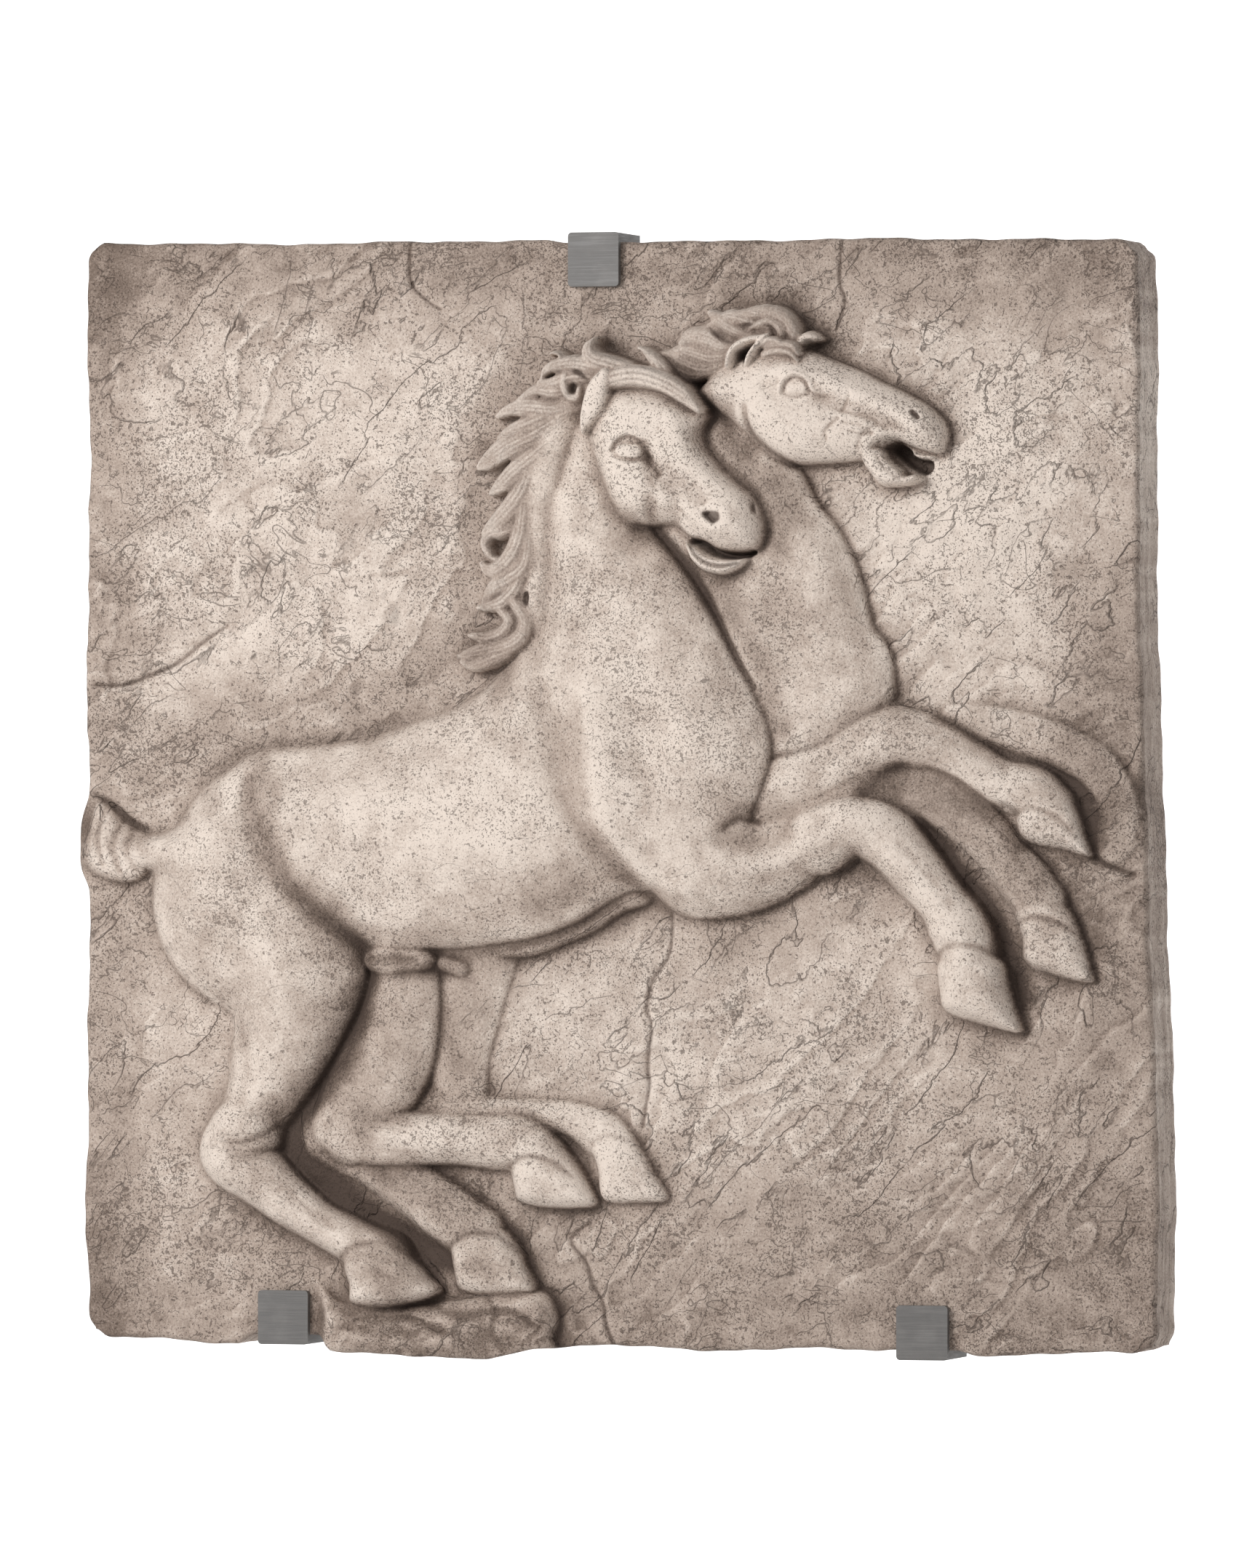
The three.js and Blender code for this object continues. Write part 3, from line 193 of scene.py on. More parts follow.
class Carving:
    # heights over the sheet, with a dark brown wash and painted shade in the grooves, and a mask for hair
    def __init__(self, u, v):
        self.u, self.v = u, v
        self.rows, self.cols = u.shape
        self.height = np.zeros(u.shape)
        self.washAndShade = np.zeros(u.shape)
        self.hair = np.zeros(u.shape)
        self.brownAndShade = np.zeros(u.shape)
        self.layer = None
        self.deepen = 1.0

    def cells(self, distance):
        # a distance on the sheet in grid places
        return max(1, int(round(distance / sheetWidth * self.cols)))

    def window(self, points, margin):
        # the rows and columns near a set of points
        margin += 8
        low = points[:, :2].min(axis=0) - margin
        high = points[:, :2].max(axis=0) + margin
        low[0] += sheetWidth / 2 - sheetMiddle
        high[0] += sheetWidth / 2 - sheetMiddle
        c0 = int(np.clip(low[0] / sheetWidth * self.cols, 0, self.cols - 2))
        c1 = int(np.clip(high[0] / sheetWidth * self.cols + 2, c0 + 2, self.cols))
        r0 = int(np.clip(low[1] / sheetHeight * self.rows, 0, self.rows - 2))
        r1 = int(np.clip(high[1] / sheetHeight * self.rows + 2, r0 + 2, self.rows))
        return slice(r0, r1), slice(c0, c1)

    def facing(self, outside):
        # 1 where a contour faces right, away from the light, little where it faces left, towards it
        dv, du = np.gradient(outside)
        length = np.hypot(du, dv) + 1e-9
        toRight = np.clip(0.18 + 0.82 * du / length - 0.12 * dv / length, 0, 1)
        return carvingLook["leftShare"] + (1 - carvingLook["leftShare"]) * toRight

    def gather(self, blend):
        # forms laid from here on flow into one another
        self.layer = np.full(self.u.shape, unlaid)
        self.away = np.full(self.u.shape, -unlaid)
        self.layerBlend = blend

    def settle(self, peak, groove=5, reach=4, washAndShade=1.0):
        # the gathered forms come down on the ground as one, with a groove round their contour
        form, outside = self.layer, self.away
        self.layer = None
        groove = groove * carvingLook["grooveShare"]
        worn = softened(form, self.cells(3))
        form = form + (worn - form) * ease(np.clip(-outside / 16 - 0.1, 0, 1))
        start = np.clip(softened(self.height, self.cells(7)), -3, 0.8 * peak) - 0.8 * groove
        form = start + np.clip(form, 0, None) * (peak - start) / peak
        outer = np.exp(-(np.clip(outside, 0, None) / reach) ** 2) * self.facing(outside)
        higher = np.clip((peak - self.height) / 10, 0, 1)
        inside = ease(np.clip(0.5 - outside / 3.5, 0, 1))
        ground = self.height - groove * outer * higher
        self.height = ground + (form - ground) * inside
        # the clay is smoothed into the ground along the contour, most where it faces left
        smooth = softened(self.height, self.cells(5)) - self.height
        wiped = np.clip(0.9 - 2.2 * self.facing(outside), 0, 1)
        self.height += smooth * np.exp(-(outside / 6) ** 2) * wiped
        # painted shade: a dark line along the contour, strongest where it faces right, away from the
        # light
        line = np.exp(-np.abs(outside - 0.8) / 1.5) * self.facing(outside) * higher
        line = carvingLook["contourShade"] * washAndShade * line
        self.washAndShade = np.maximum(self.washAndShade * (1 - inside), line)
        self.hair = self.hair * (1 - inside)

    def lay(self, w, form, rise, outside, blend, groove, reach, hair):
        # a form is gathered, or joined to what lies there with a groove round it
        if self.layer is not None:
            self.layer[w] = blended(form, self.layer[w], self.layerBlend)
            self.away[w] = np.minimum(outside, self.away[w])
            return
        groove = groove * carvingLook["grooveShare"]
        ground = self.height[w]
        higher = np.clip((rise - ground) / 8, 0, 1)
        outer = np.exp(-(np.clip(outside, 0, None) / reach) ** 2) * higher * self.facing(outside)
        covered = (outside < 0) & (form > ground - groove)
        # painted shade along the contour where it faces right, away from the light; covered places lose
        # most of it
        line = np.exp(-np.abs(outside - 0.5) / 1.8) * self.facing(outside) * higher
        washAndShade = np.maximum(self.washAndShade[w], 0.6 * line * min(1.0, groove / 2.5))
        ground = ground - groove * outer
        self.washAndShade[w] = np.where(covered, self.washAndShade[w] * 0.15, washAndShade)
        self.hair[w] = np.where(covered, hair, self.hair[w])
        self.height[w] = blended(form, ground, blend)

    def limb(self, stations, blend=3, groove=0, reach=4, base=0, power=2.2, strands=0, strandDepth=1.2,
             hair=0.0, steps=6):
        # a rounded form along its stations, combed into strands where it is hair
        path = throughStations(stations, steps=steps)
        path[:, 0] += viewLean * path[:, 3]
        w = self.window(path, path[:, 2].max() + 4 * reach + 6)
        share, rise, width, side, run = nearestOnPath(self.u[w], self.v[w], path)
        outside = (share - 1) * width
        form = base + (rise - base) * crown(share, power)
        form = np.where(share < 1, form, base - 1.5 * outside - (30 if base else 0))
        if strands:
            comb = 0.5 - 0.5 * np.cos(np.pi * strands * (side / width + 1) + 0.5 * np.sin(run * 0.13))
            form = form - np.where(share < 1, strandDepth * comb ** 2 * np.clip(1.15 - share, 0, 1), 0)
        self.lay(w, form, rise, outside, blend, groove, reach, hair)
        if strands:
            # painted shade, with the brown wash, in the lines of the hair
            seen = (share < 0.95) & (np.abs(self.height[w] - form) < 1.5)
            line = np.where(seen, carvingLook["strandShade"] * comb ** 3, 0)
            self.washAndShade[w] = np.maximum(self.washAndShade[w], line)

    def mass(self, outline, rise, rounding, blend=2, groove=0, reach=4, base=0, power=2.1, slope=(0, 0),
             steps=5, hair=0.0):
        # a broad form with a drawn outline, rounded over towards it
        line = throughStations(outline, closed=True, steps=steps)
        line[:, 0] += viewLean * rise
        w = self.window(line, 4 * reach + 6)
        u, v = self.u[w], self.v[w]
        d = insideOutline(u, v, line)
        top = rise + slope[0] * (u - line[:, 0].mean()) + slope[1] * (v - line[:, 1].mean())
        form = base + (top - base) * crown(1 - d / rounding, power)
        if rounding > 20:
            # the ridge where two sides meet is worn away
            worn = softened(form, self.cells(rounding / 6))
            form = form + (worn - form) * ease(np.clip(d / rounding * 2.5 - 0.3, 0, 1))
        form = np.where(d > 0, form, base + 1.5 * d - (30 if base else 0))
        self.lay(w, form, top, -d, blend, groove, reach, hair)

    def press(self, stations, depth, rise=0.0, washAndShade=0.0, steps=5):
        # a groove along its stations, or a ridge where depth is less than nothing; the groove is darkened
        # by the given amount, painted shade with the brown wash
        path = throughStations([(*s[:3], s[3] if len(s) > 3 else 1.0) for s in stations], steps=steps)
        path[:, 0] += viewLean * rise
        w = self.window(path, 2.4 * path[:, 2].max() + 2)
        share, amount = nearestOnPath(self.u[w], self.v[w], path)[:2]
        cut = amount * np.exp(-share ** 2)
        self.height[w] -= depth * self.deepen * cut
        self.washAndShade[w] = np.maximum(self.washAndShade[w], washAndShade * np.clip(cut, 0, 1))

    def stainAndShade(self, stations, amount, rise=0.0, under=200.0):
        # brown left by the brush, and painted shade in gaps and under forms, in a soft band along its
        # stations, on what lies lower than a height
        path = throughStations([(*s[:3], 1.0) for s in stations], steps=5)
        path[:, 0] += viewLean * rise
        w = self.window(path, 2.2 * path[:, 2].max() + 2)
        share = nearestOnPath(self.u[w], self.v[w], path)[0]
        low = ease(np.clip((under - self.height[w]) / 8, 0, 1))
        self.brownAndShade[w] = np.maximum(self.brownAndShade[w], amount * low * np.exp(-share ** 2))

    def hollow(self, outline, depth, rise, rounding=3.0, washAndShade=1.0):
        # a pit with a drawn outline, darkened inside: painted shade with the brown wash
        line = throughStations(outline, closed=True, steps=5)
        line[:, 0] += viewLean * rise
        w = self.window(line, rounding + 3)
        d = insideOutline(self.u[w], self.v[w], line)
        self.height[w] -= depth * ease(np.clip(d / rounding, 0, 1))
        self.washAndShade[w] = np.maximum(self.washAndShade[w], washAndShade * np.clip(d / rounding + 0.25, 0, 1))

    def lump(self, place, reach, depth, rise):
        # a soft swelling about one place, or a dip where depth is less than nothing
        u0, v0 = place[0] + viewLean * rise, place[1]
        w = self.window(np.array([[u0, v0]]), 2.6 * max(reach[:2]))
        turn = math.radians(reach[2]) if len(reach) > 2 else 0.0
        u, v = self.u[w] - u0, self.v[w] - v0
        a = (u * math.cos(turn) + v * math.sin(turn)) / reach[0]
        b = (v * math.cos(turn) - u * math.sin(turn)) / reach[1]
        self.height[w] += depth * self.deepen * np.exp(-a * a - b * b)


def ledges(u, v, angle, size, count, seed):
    # flaked clay, in patches: a drawn-out noise rises slowly
    # and drops at once each time it passes a whole number
    along = 0.5 * (u * math.cos(angle) + v * math.sin(angle))
    across = v * math.cos(angle) - u * math.sin(angle)
    swell = 0.0
    for part, share in ((1.0, 1.0), (0.43, 0.45), (0.17, 0.16), (0.07, 0.06)):
        swell = swell + share * valueNoise(along, across, size * part, seed + int(10 * part))
    step = swell * count
    step = step - np.floor(step)
    patch = ease(np.clip(valueNoise(u, v, size * 0.8, seed + 30) * 1.5 + 0.55, 0, 1))
    rise = np.where(step < 0.9, step / 0.9, (1 - step) / 0.1) * patch
    # the foot of each drop, where painted shade is laid
    footShade = np.clip(1 - np.abs(step - 0.97) / 0.06, 0, 1) * patch
    return rise, footShade


def carveGround(c):
    # the ground swells slowly by crossed sines, with two sizes of ledges and soft noise over it
    u, v = c.u, c.v
    c.height += 1.6 * np.sin(u * 0.011 + 0.9 * np.sin(v * 0.006)) * np.sin(v * 0.009 + 1.3)
    c.height += 0.8 * np.sin((u * 0.9 + v * 0.5) * 0.021 + 2 * np.sin(v * 0.013))
    for angle, size, count, tall, seed in ((0.85, 120, 2.3, 2.5, 110), (0.35, 70, 1.7, 1.6, 210)):
        rise, footShade = ledges(u, v, angle, size, count, seed)
        c.height += tall * (rise - 0.5)
        # painted shade at the foot of each ledge's drop
        c.washAndShade = np.maximum(c.washAndShade, 0.2 * tall * footShade)
    c.height += 0.9 * valueNoise(u, v, 30, 12) + 0.35 * valueNoise(u, v, 12, 13)


burrWidth = 3.2


def carveStrokes(c, count, seed, area, depth):
    # short wavering chisel strokes: the way turns a little at each bend, and both ends fade
    rng = np.random.default_rng(seed)
    bends = 6
    for _ in range(count):
        u0 = rng.uniform(area[0], area[1])
        v0 = rng.uniform(area[2], area[3])
        angle = rng.normal(0.45, 0.7)
        length = rng.uniform(10, 46)
        turn = np.cumsum(rng.normal(0, 0.45, bends)) + angle
        step = length / bends
        us = u0 + np.cumsum(np.cos(turn)) * step
        vs = v0 + np.cumsum(np.sin(turn)) * step
        strength = rng.uniform(0.35, 1.0)
        width = rng.uniform(1.0, 2.2)
        taper = np.sin(np.linspace(0.25, np.pi - 0.15, bends))
        stroke = np.stack([us, vs, np.full(bends, width), strength * taper], 1)
        c.press(stroke, depth, washAndShade=0.45 * strength, steps=2)
        # the stone stands a little proud along one side of the stroke
        burr = stroke.copy()
        burr[:, 0] -= np.sin(angle) * burrWidth
        burr[:, 1] += np.cos(angle) * burrWidth
        burr[:, 2] = burrWidth
        c.press(burr, -0.45 * depth, steps=2)


def carveFarLegs(c):
    # what lies behind the near horse, from the lowest up: the far hind leg in the lowest relief first
    c.gather(4)
    c.limb([[372, 365, 34, 10], [352, 310, 36, 10], [345, 260, 30, 10], [352, 228, 22, 10]])
    c.limb([[340, 212, 16, 12], [400, 210, 15, 13], [450, 206, 17, 15], [482, 192, 22, 17],
            [496, 178, 20, 18]])
    c.settle(18, groove=1.5, reach=4, washAndShade=0.5)
    c.mass([[470, 186], [477, 160], [482, 133], [512, 130], [543, 134], [530, 160], [515, 186],
            [497, 206], [476, 214]], 17, 14, groove=3, base=0, blend=3)
    c.press([[474, 184, 3], [490, 191, 3], [510, 187, 3], [522, 174, 2.4]], 2.0, 15, washAndShade=0.35)
    # the lifted foreleg that is only sketched in the ground
    c.limb([[812, 568, 14, 4], [856, 560, 18, 6], [900, 546, 20, 7], [940, 526, 20, 7], [962, 492, 18, 6],
            [960, 456, 18, 4]], blend=3, groove=1, power=3)
    # far horse: neck and breast
    c.mass([[662, 800], [682, 764], [705, 735], [723, 695], [733, 655], [749, 630], [754, 600],
            [746, 575], [690, 520], [620, 470], [560, 520], [530, 640], [520, 760], [560, 840],
            [610, 850]], 24, 46, groove=5, power=2.2)
    c.lump((684, 660), (30, 70), 2.5, 24)
    c.lump((716, 604), (30, 30), 2.0, 24)
    c.press([[640, 740, 12], [648, 690, 14], [650, 640, 14], [664, 600, 12]], 1.8, 24)
    # far horse: near foreleg
    c.gather(7)
    c.limb([[600, 490, 34, 20], [655, 504, 32, 24], [695, 520, 32, 26], [728, 540, 31, 28],
            [754, 551, 29, 28], [788, 544, 26, 26], [822, 527, 24, 24], [852, 509, 24, 24],
            [882, 502, 25, 25], [900, 488, 24, 25]])
    c.mass([[868, 486], [870, 462], [886, 454], [910, 450], [936, 444], [931, 465], [925, 486],
            [912, 500], [888, 504]], 27, 17)
    c.settle(29, groove=5, reach=4)
    c.press([[640, 532, 3], [686, 544, 4], [718, 565, 4], [744, 578, 3]], 3.2, 22, washAndShade=0.55)
    c.lump((752, 562), (18, 12), 2.6, 28)
    c.press([[700, 532, 6], [730, 552, 5], [752, 560, 4]], 1.4, 28)
    c.press([[790, 556, 4], [826, 540, 4], [862, 522, 3]], 1.3, 24)
    c.press([[866, 480, 2.6], [884, 488, 3], [908, 480, 3], [920, 468, 2]], 2.4, 26, washAndShade=0.45)
    c.press([[850, 488, 4], [860, 490, 4], [868, 484, 3]], 2.0, 24, washAndShade=0.5)
    # near horse: far foreleg
    c.gather(7)
    c.limb([[690, 470, 24, 12], [730, 490, 26, 15], [765, 498, 25, 17], [797, 494, 27, 18],
            [828, 474, 25, 18], [853, 447, 23, 18], [875, 422, 25, 19], [890, 402, 25, 20]])
    c.mass([[866, 396], [872, 370], [874, 350], [900, 337], [937, 331], [937, 345], [930, 370],
            [917, 398], [890, 410]], 22, 17)
    c.settle(22, groove=6, reach=5)
    c.press([[867, 382, 2.6], [886, 390, 3], [910, 385, 3], [927, 373, 2]], 2.4, 20, washAndShade=0.45)
    c.press([[812, 502, 4], [840, 478, 4], [864, 450, 4], [880, 430, 3]], 1.3, 18)
    # near horse: far hind leg below the hock
    c.gather(7)
    c.limb([[225, 190, 30, 14], [262, 166, 24, 16], [300, 142, 26, 19], [335, 118, 28, 22],
            [362, 100, 28, 22]])
    c.mass([[338, 92], [341, 62], [348, 48], [380, 44], [419, 49], [410, 74], [402, 92], [385, 108],
            [356, 110]], 25, 17)
    c.settle(25, groove=7, reach=5)
    c.press([[338, 88, 3], [358, 101, 3.2], [384, 100, 3.2], [404, 85, 2]], 2.6, 23, washAndShade=0.5)
    c.press([[346, 76, 6], [364, 84, 6], [388, 80, 5]], -1.6, 23)
    # far horse: near hind leg with its hock
    c.gather(9)
    c.limb([[300, 370, 30, 18], [295, 335, 34, 22], [290, 300, 39, 25], [282, 268, 42, 26],
            [266, 238, 43, 26], [248, 210, 38, 26], [245, 190, 28, 25]])
    c.limb([[232, 198, 26, 24], [262, 188, 26, 26], [300, 187, 25, 27], [345, 186, 24, 27],
            [380, 184, 26, 27], [405, 182, 27, 28], [424, 168, 26, 28]])
    c.mass([[394, 170], [397, 142], [402, 130], [432, 124], [474, 127], [470, 146], [458, 166],
            [445, 182], [428, 198], [404, 196]], 29, 18)
    c.settle(29, groove=6, reach=5)
    c.lump((236, 206), (16, 20), 2.0, 25)
    c.press([[396, 162, 3], [413, 172, 3.2], [438, 168, 3.2], [457, 153, 2]], 2.8, 27, washAndShade=0.5)
    c.press([[404, 150, 6], [424, 156, 6], [446, 150, 5]], -1.6, 27)
    c.press([[262, 203, 4], [310, 202, 4], [360, 202, 4], [388, 198, 3]], 1.0, 26)
    c.press([[276, 176, 4], [330, 174, 4], [372, 172, 4]], 1.2, 26, washAndShade=0.1)
    c.press([[262, 300, 9], [258, 270, 10], [250, 240, 8]], 1.4, 25)
    # the rock under the hooves
    c.mass([[204, 60], [220, 46], [234, 38], [268, 35], [310, 35], [345, 42], [377, 46], [405, 50],
            [428, 48], [440, 28], [436, 6], [425, -30], [215, -30], [206, 0],
            [214, 24]], 19, 17, groove=2, base=0, blend=3)
    across = np.clip((c.u - 205) / 16, 0, 1) * np.clip((442 - c.u) / 10, 0, 1)
    rock = np.clip((48 - c.v) / 14, 0, 1) * across
    flaked = 2.6 * ledges(c.u, c.v, 0.2, 34, 2.2, 61)[0] + 1.6 * valueNoise(c.u, c.v, 13, 62)
    c.height += rock * (flaked - 1.2)
    c.press([[226, 34, 4], [262, 22, 5], [300, 24, 4], [334, 12, 4]], 3.0, 18, washAndShade=0.4)
    c.press([[318, 36, 4], [352, 28, 5], [392, 32, 4], [424, 18, 3]], 3.2, 18, washAndShade=0.4)
    c.press([[372, 46, 3], [384, 30, 3.5], [380, 12, 3], [392, -4, 3]], 3.0, 18, washAndShade=0.4)
    c.press([[240, 8, 4], [290, 2, 5], [340, 4, 4]], -2.2, 18)
    c.press([[350, 14, 6], [384, 18, 6], [410, 10, 4]], -1.8, 18)


# the near body's contour, line by line, from the withers over the tail and round
nearBody = dict(
    back=[[384, 615], [350, 586], [300, 566], [250, 551], [200, 546], [150, 541], [128, 528], [108, 514],
          [90, 496], [70, 468]],
    rump=[[54, 440], [48, 415], [49, 388], [57, 360], [76, 332], [100, 312], [120, 302]],
    hindLeg=[[126, 286], [124, 264], [121, 240], [115, 218], [103, 198], [94, 176], [98, 158],
             [120, 148], [150, 160]],
    stifle=[[172, 180], [176, 194], [190, 212], [208, 236], [224, 262], [240, 292], [252, 314],
            [258, 336], [254, 354]],
    belly=[[270, 361], [310, 359], [350, 360], [400, 366], [430, 373], [460, 385], [488, 402],
           [508, 411], [526, 408]],
    forearm=[[540, 396], [562, 387], [590, 387], [620, 393], [645, 403], [668, 416], [684, 429],
             [700, 441], [716, 448]],
    knee=[[738, 452], [744, 472], [734, 490], [716, 499], [695, 492], [672, 484], [650, 479],
          [622, 476]],
    breast=[[630, 500], [638, 522], [641, 545], [636, 566], [624, 592], [606, 622], [590, 656],
            [576, 680], [562, 700], [544, 722], [526, 744]],
    crest=[[512, 800], [505, 864], [478, 864], [446, 842], [432, 806], [419, 755], [417, 728],
           [419, 695], [415, 662], [398, 636]],
)


tailTuft = [[62, 463], [46, 465], [32, 471], [14, 486], [0, 495], [-7, 478], [-13, 451], [-9, 431],
            [12, 420], [37, 420], [51, 433]]


def carveNearBody(c):
    # the near horse but for its head: first the lower line of the belly, and the sheath
    c.mass([[260, 380], [330, 352], [372, 350], [410, 352], [442, 362], [474, 376], [500, 392],
            [528, 404], [520, 430], [420, 420], [300, 410]], 18, 24, groove=0.8)
    c.press([[400, 360, 2.4], [436, 368, 3], [470, 384, 3], [504, 402, 2]], 1.2, 21, washAndShade=0.25)
    c.press([[440, 362, 2], [466, 374, 2.4], [492, 388, 2]], 0.8, 20, washAndShade=0.2)
    c.mass([[256, 358], [261, 340], [280, 334], [300, 336], [320, 340], [325, 352], [310, 364],
            [280, 366]], 27, 9, groove=3, base=8)
    c.press([[268, 350, 2.4], [284, 353, 3], [300, 350, 3], [314, 354, 2.4]], 1.2, 27, washAndShade=0.25)
    c.limb([[334, 346, 9, 17], [350, 341, 9, 17]], blend=2, groove=2)
    # body, neck, thigh and forearm as one, with the limbs running out of it
    c.gather(9)
    c.mass([p for line in nearBody.values() for p in line], 46, 92, power=1.85, steps=3)
    c.limb([[112, 452, 36, 40], [84, 448, 24, 34], [56, 446, 17, 26], [40, 446, 14, 22]])
    c.mass(tailTuft, 19, 22)
    c.limb([[139, 190, 36, 37], [131, 172, 34, 36], [155, 152, 29, 35], [182, 130, 25, 34],
            [212, 110, 21, 33], [240, 96, 22, 33], [264, 84, 24, 33]])
    c.mass([[236, 78], [240, 52], [243, 36], [282, 33], [326, 46], [318, 62], [305, 78], [292, 98],
            [262, 106]], 34, 20)
    c.limb([[682, 458, 32, 39], [716, 471, 28, 39], [746, 461, 30, 38], [772, 434, 28, 36],
            [797, 405, 25, 35], [815, 376, 30, 36], [824, 352, 27, 36]])
    c.mass([[794, 352], [794, 322], [800, 304], [832, 293], [869, 286], [866, 306], [861, 326],
            [854, 352], [826, 362]], 38, 22)
    c.settle(46, groove=7, reach=6)
    c.deepen = 1.35
    # folds of the tail
    c.press([[8, 484, 3], [3, 460, 3.4], [8, 436, 3]], 2.4, 18, washAndShade=0.3)
    c.press([[24, 474, 3], [18, 452, 3.6], [24, 430, 3]], 2.2, 19, washAndShade=0.2)
    c.press([[36, 470, 3], [32, 452, 3.6], [38, 432, 3]], 1.8, 20, washAndShade=0.15)
    c.press([[52, 466, 3, 0.6], [34, 474, 3], [16, 488, 3], [-4, 500, 3]], 2.4, 10, washAndShade=0.8)
    # hooves, hocks, knees
    c.press([[238, 80, 3], [256, 91, 3.4], [282, 92, 3.4], [303, 79, 2.4]], 2.2, 32, washAndShade=0.4)
    c.press([[246, 66, 6], [268, 74, 6], [292, 68, 5]], -1.6, 32)
    c.press([[134, 183, 3, 0.5], [148, 184, 3.4], [162, 189, 3.6],
             [178, 200, 3, 0.8]], 2.4, 35, washAndShade=0.45)
    c.press([[150, 166, 8], [178, 144, 6], [206, 124, 5], [232, 108, 4]], 1.6, 34)
    c.press([[128, 298, 8], [142, 280, 8], [148, 250, 8], [142, 220, 6]], 2.2, 40, washAndShade=0.1)
    c.lump((150, 256), (14, 34, -12), 1.6, 40)
    c.lump((208, 268), (14, 36, -30), 1.8, 40)
    c.lump((124, 176), (14, 12), 2.0, 36)
    c.lump((720, 482), (20, 11), 2.6, 39)
    c.press([[600, 458, 9], [640, 458, 9], [680, 470, 7], [704, 482, 4]], 1.6, 42)
    c.press([[636, 424, 7], [676, 440, 7], [706, 456, 5]], 1.6, 41)
    c.lump((606, 430), (40, 16, 6), 1.6, 43)
    c.press([[766, 456, 4], [790, 428, 4], [812, 400, 4]], 1.4, 36)
    c.press([[792, 354, 3], [812, 364, 3.4], [836, 363, 3.4], [854, 352, 2.4]], 2.4, 36, washAndShade=0.45)
    c.press([[800, 342, 6], [824, 350, 6], [848, 342, 5]], -1.4, 36)
    c.press([[784, 372, 4], [800, 378, 5], [812, 372, 4]], -1.8, 36)
    # barrel, haunch and flank
    c.lump((320, 470), (96, 52), 3.4, 44)
    c.press([[190, 520, 16], [260, 528, 18], [330, 548, 16]], 1.6, 44)
    c.lump((112, 446), (30, 52, 8), 4.6, 45)
    c.lump((190, 340), (44, 28, -30), 3.6, 44)
    c.lump((138, 512), (22, 16), 2.0, 44)
    c.press([[148, 512, 9], [156, 470, 12], [190, 418, 11], [232, 380, 9],
             [258, 357, 7]], 6.0, 44, washAndShade=0.3)
    c.press([[186, 478, 16], [214, 430, 16], [262, 394, 12]], -2.4, 44)
    c.press([[86, 356, 12], [118, 366, 14], [150, 346, 12]], 1.6, 44)
    c.press([[420, 392, 12], [470, 420, 14], [500, 440, 10]], 1.8, 44)
    # shoulder, breast and neck
    c.press([[428, 590, 15], [440, 545, 15], [456, 492, 14], [484, 448, 11],
             [522, 410, 8]], 6.0, 45, washAndShade=0.26)
    c.press([[476, 590, 12], [484, 530, 12], [496, 470, 12], [524, 432, 10], [560, 412, 8]], -3.4, 45)
    c.press([[508, 596, 10], [518, 556, 11], [524, 520, 9]], 2.4, 45, washAndShade=0.12)
    c.lump((572, 562), (38, 54), 4.6, 46)
    c.lump((498, 540), (24, 62, 14), 2.6, 46)
    c.press([[512, 640, 14], [530, 590, 14], [536, 540, 12], [526, 490, 10]], 1.8, 46)
    c.press([[466, 790, 9], [468, 740, 11], [470, 690, 12], [462, 640, 12], [448, 600, 10]], 2.0, 46)
    c.lump((520, 690), (22, 46, 14), 2.2, 46)
    c.lump((440, 730), (14, 70), 1.4, 46)
    c.press([[600, 470, 4], [612, 478, 4], [628, 474, 3]], 2.4, 44, washAndShade=0.6)
    c.press([[524, 748, 3, 0.6], [536, 738, 5], [554, 718, 6.5], [572, 696, 6], [588, 668, 5],
             [606, 634, 3.5, 0.8], [628, 596, 2.5, 0.6]], 4.0, 22, washAndShade=0.95)
    c.deepen = 1.0
    # uneven surface of the clay that the mould was taken from
    uneven = sum(depth * valueNoise(c.u, c.v, size, seed)
                 for depth, size, seed in ((1.2, 44, 31), (0.8, 19, 32), (0.35, 9, 33)))
    c.height += np.clip((c.height - 12) / 10, 0, 1) * uneven


def lock(c, stations, strands=3, groove=3.0, reach=2.4, depth=1.7):
    # a flat combed lock whose root and tip sink into what lies under them
    last = len(stations) - 1
    stations = [[s[0], s[1], 1.22 * s[2], s[3] - 4 * (1 - k / last) ** 3] for k, s in enumerate(stations)]
    c.limb(stations, blend=2.8, groove=groove, reach=reach, base=stations[0][3] - 12, power=1.7,
           strands=strands + 1, strandDepth=depth, hair=1.0, steps=8)


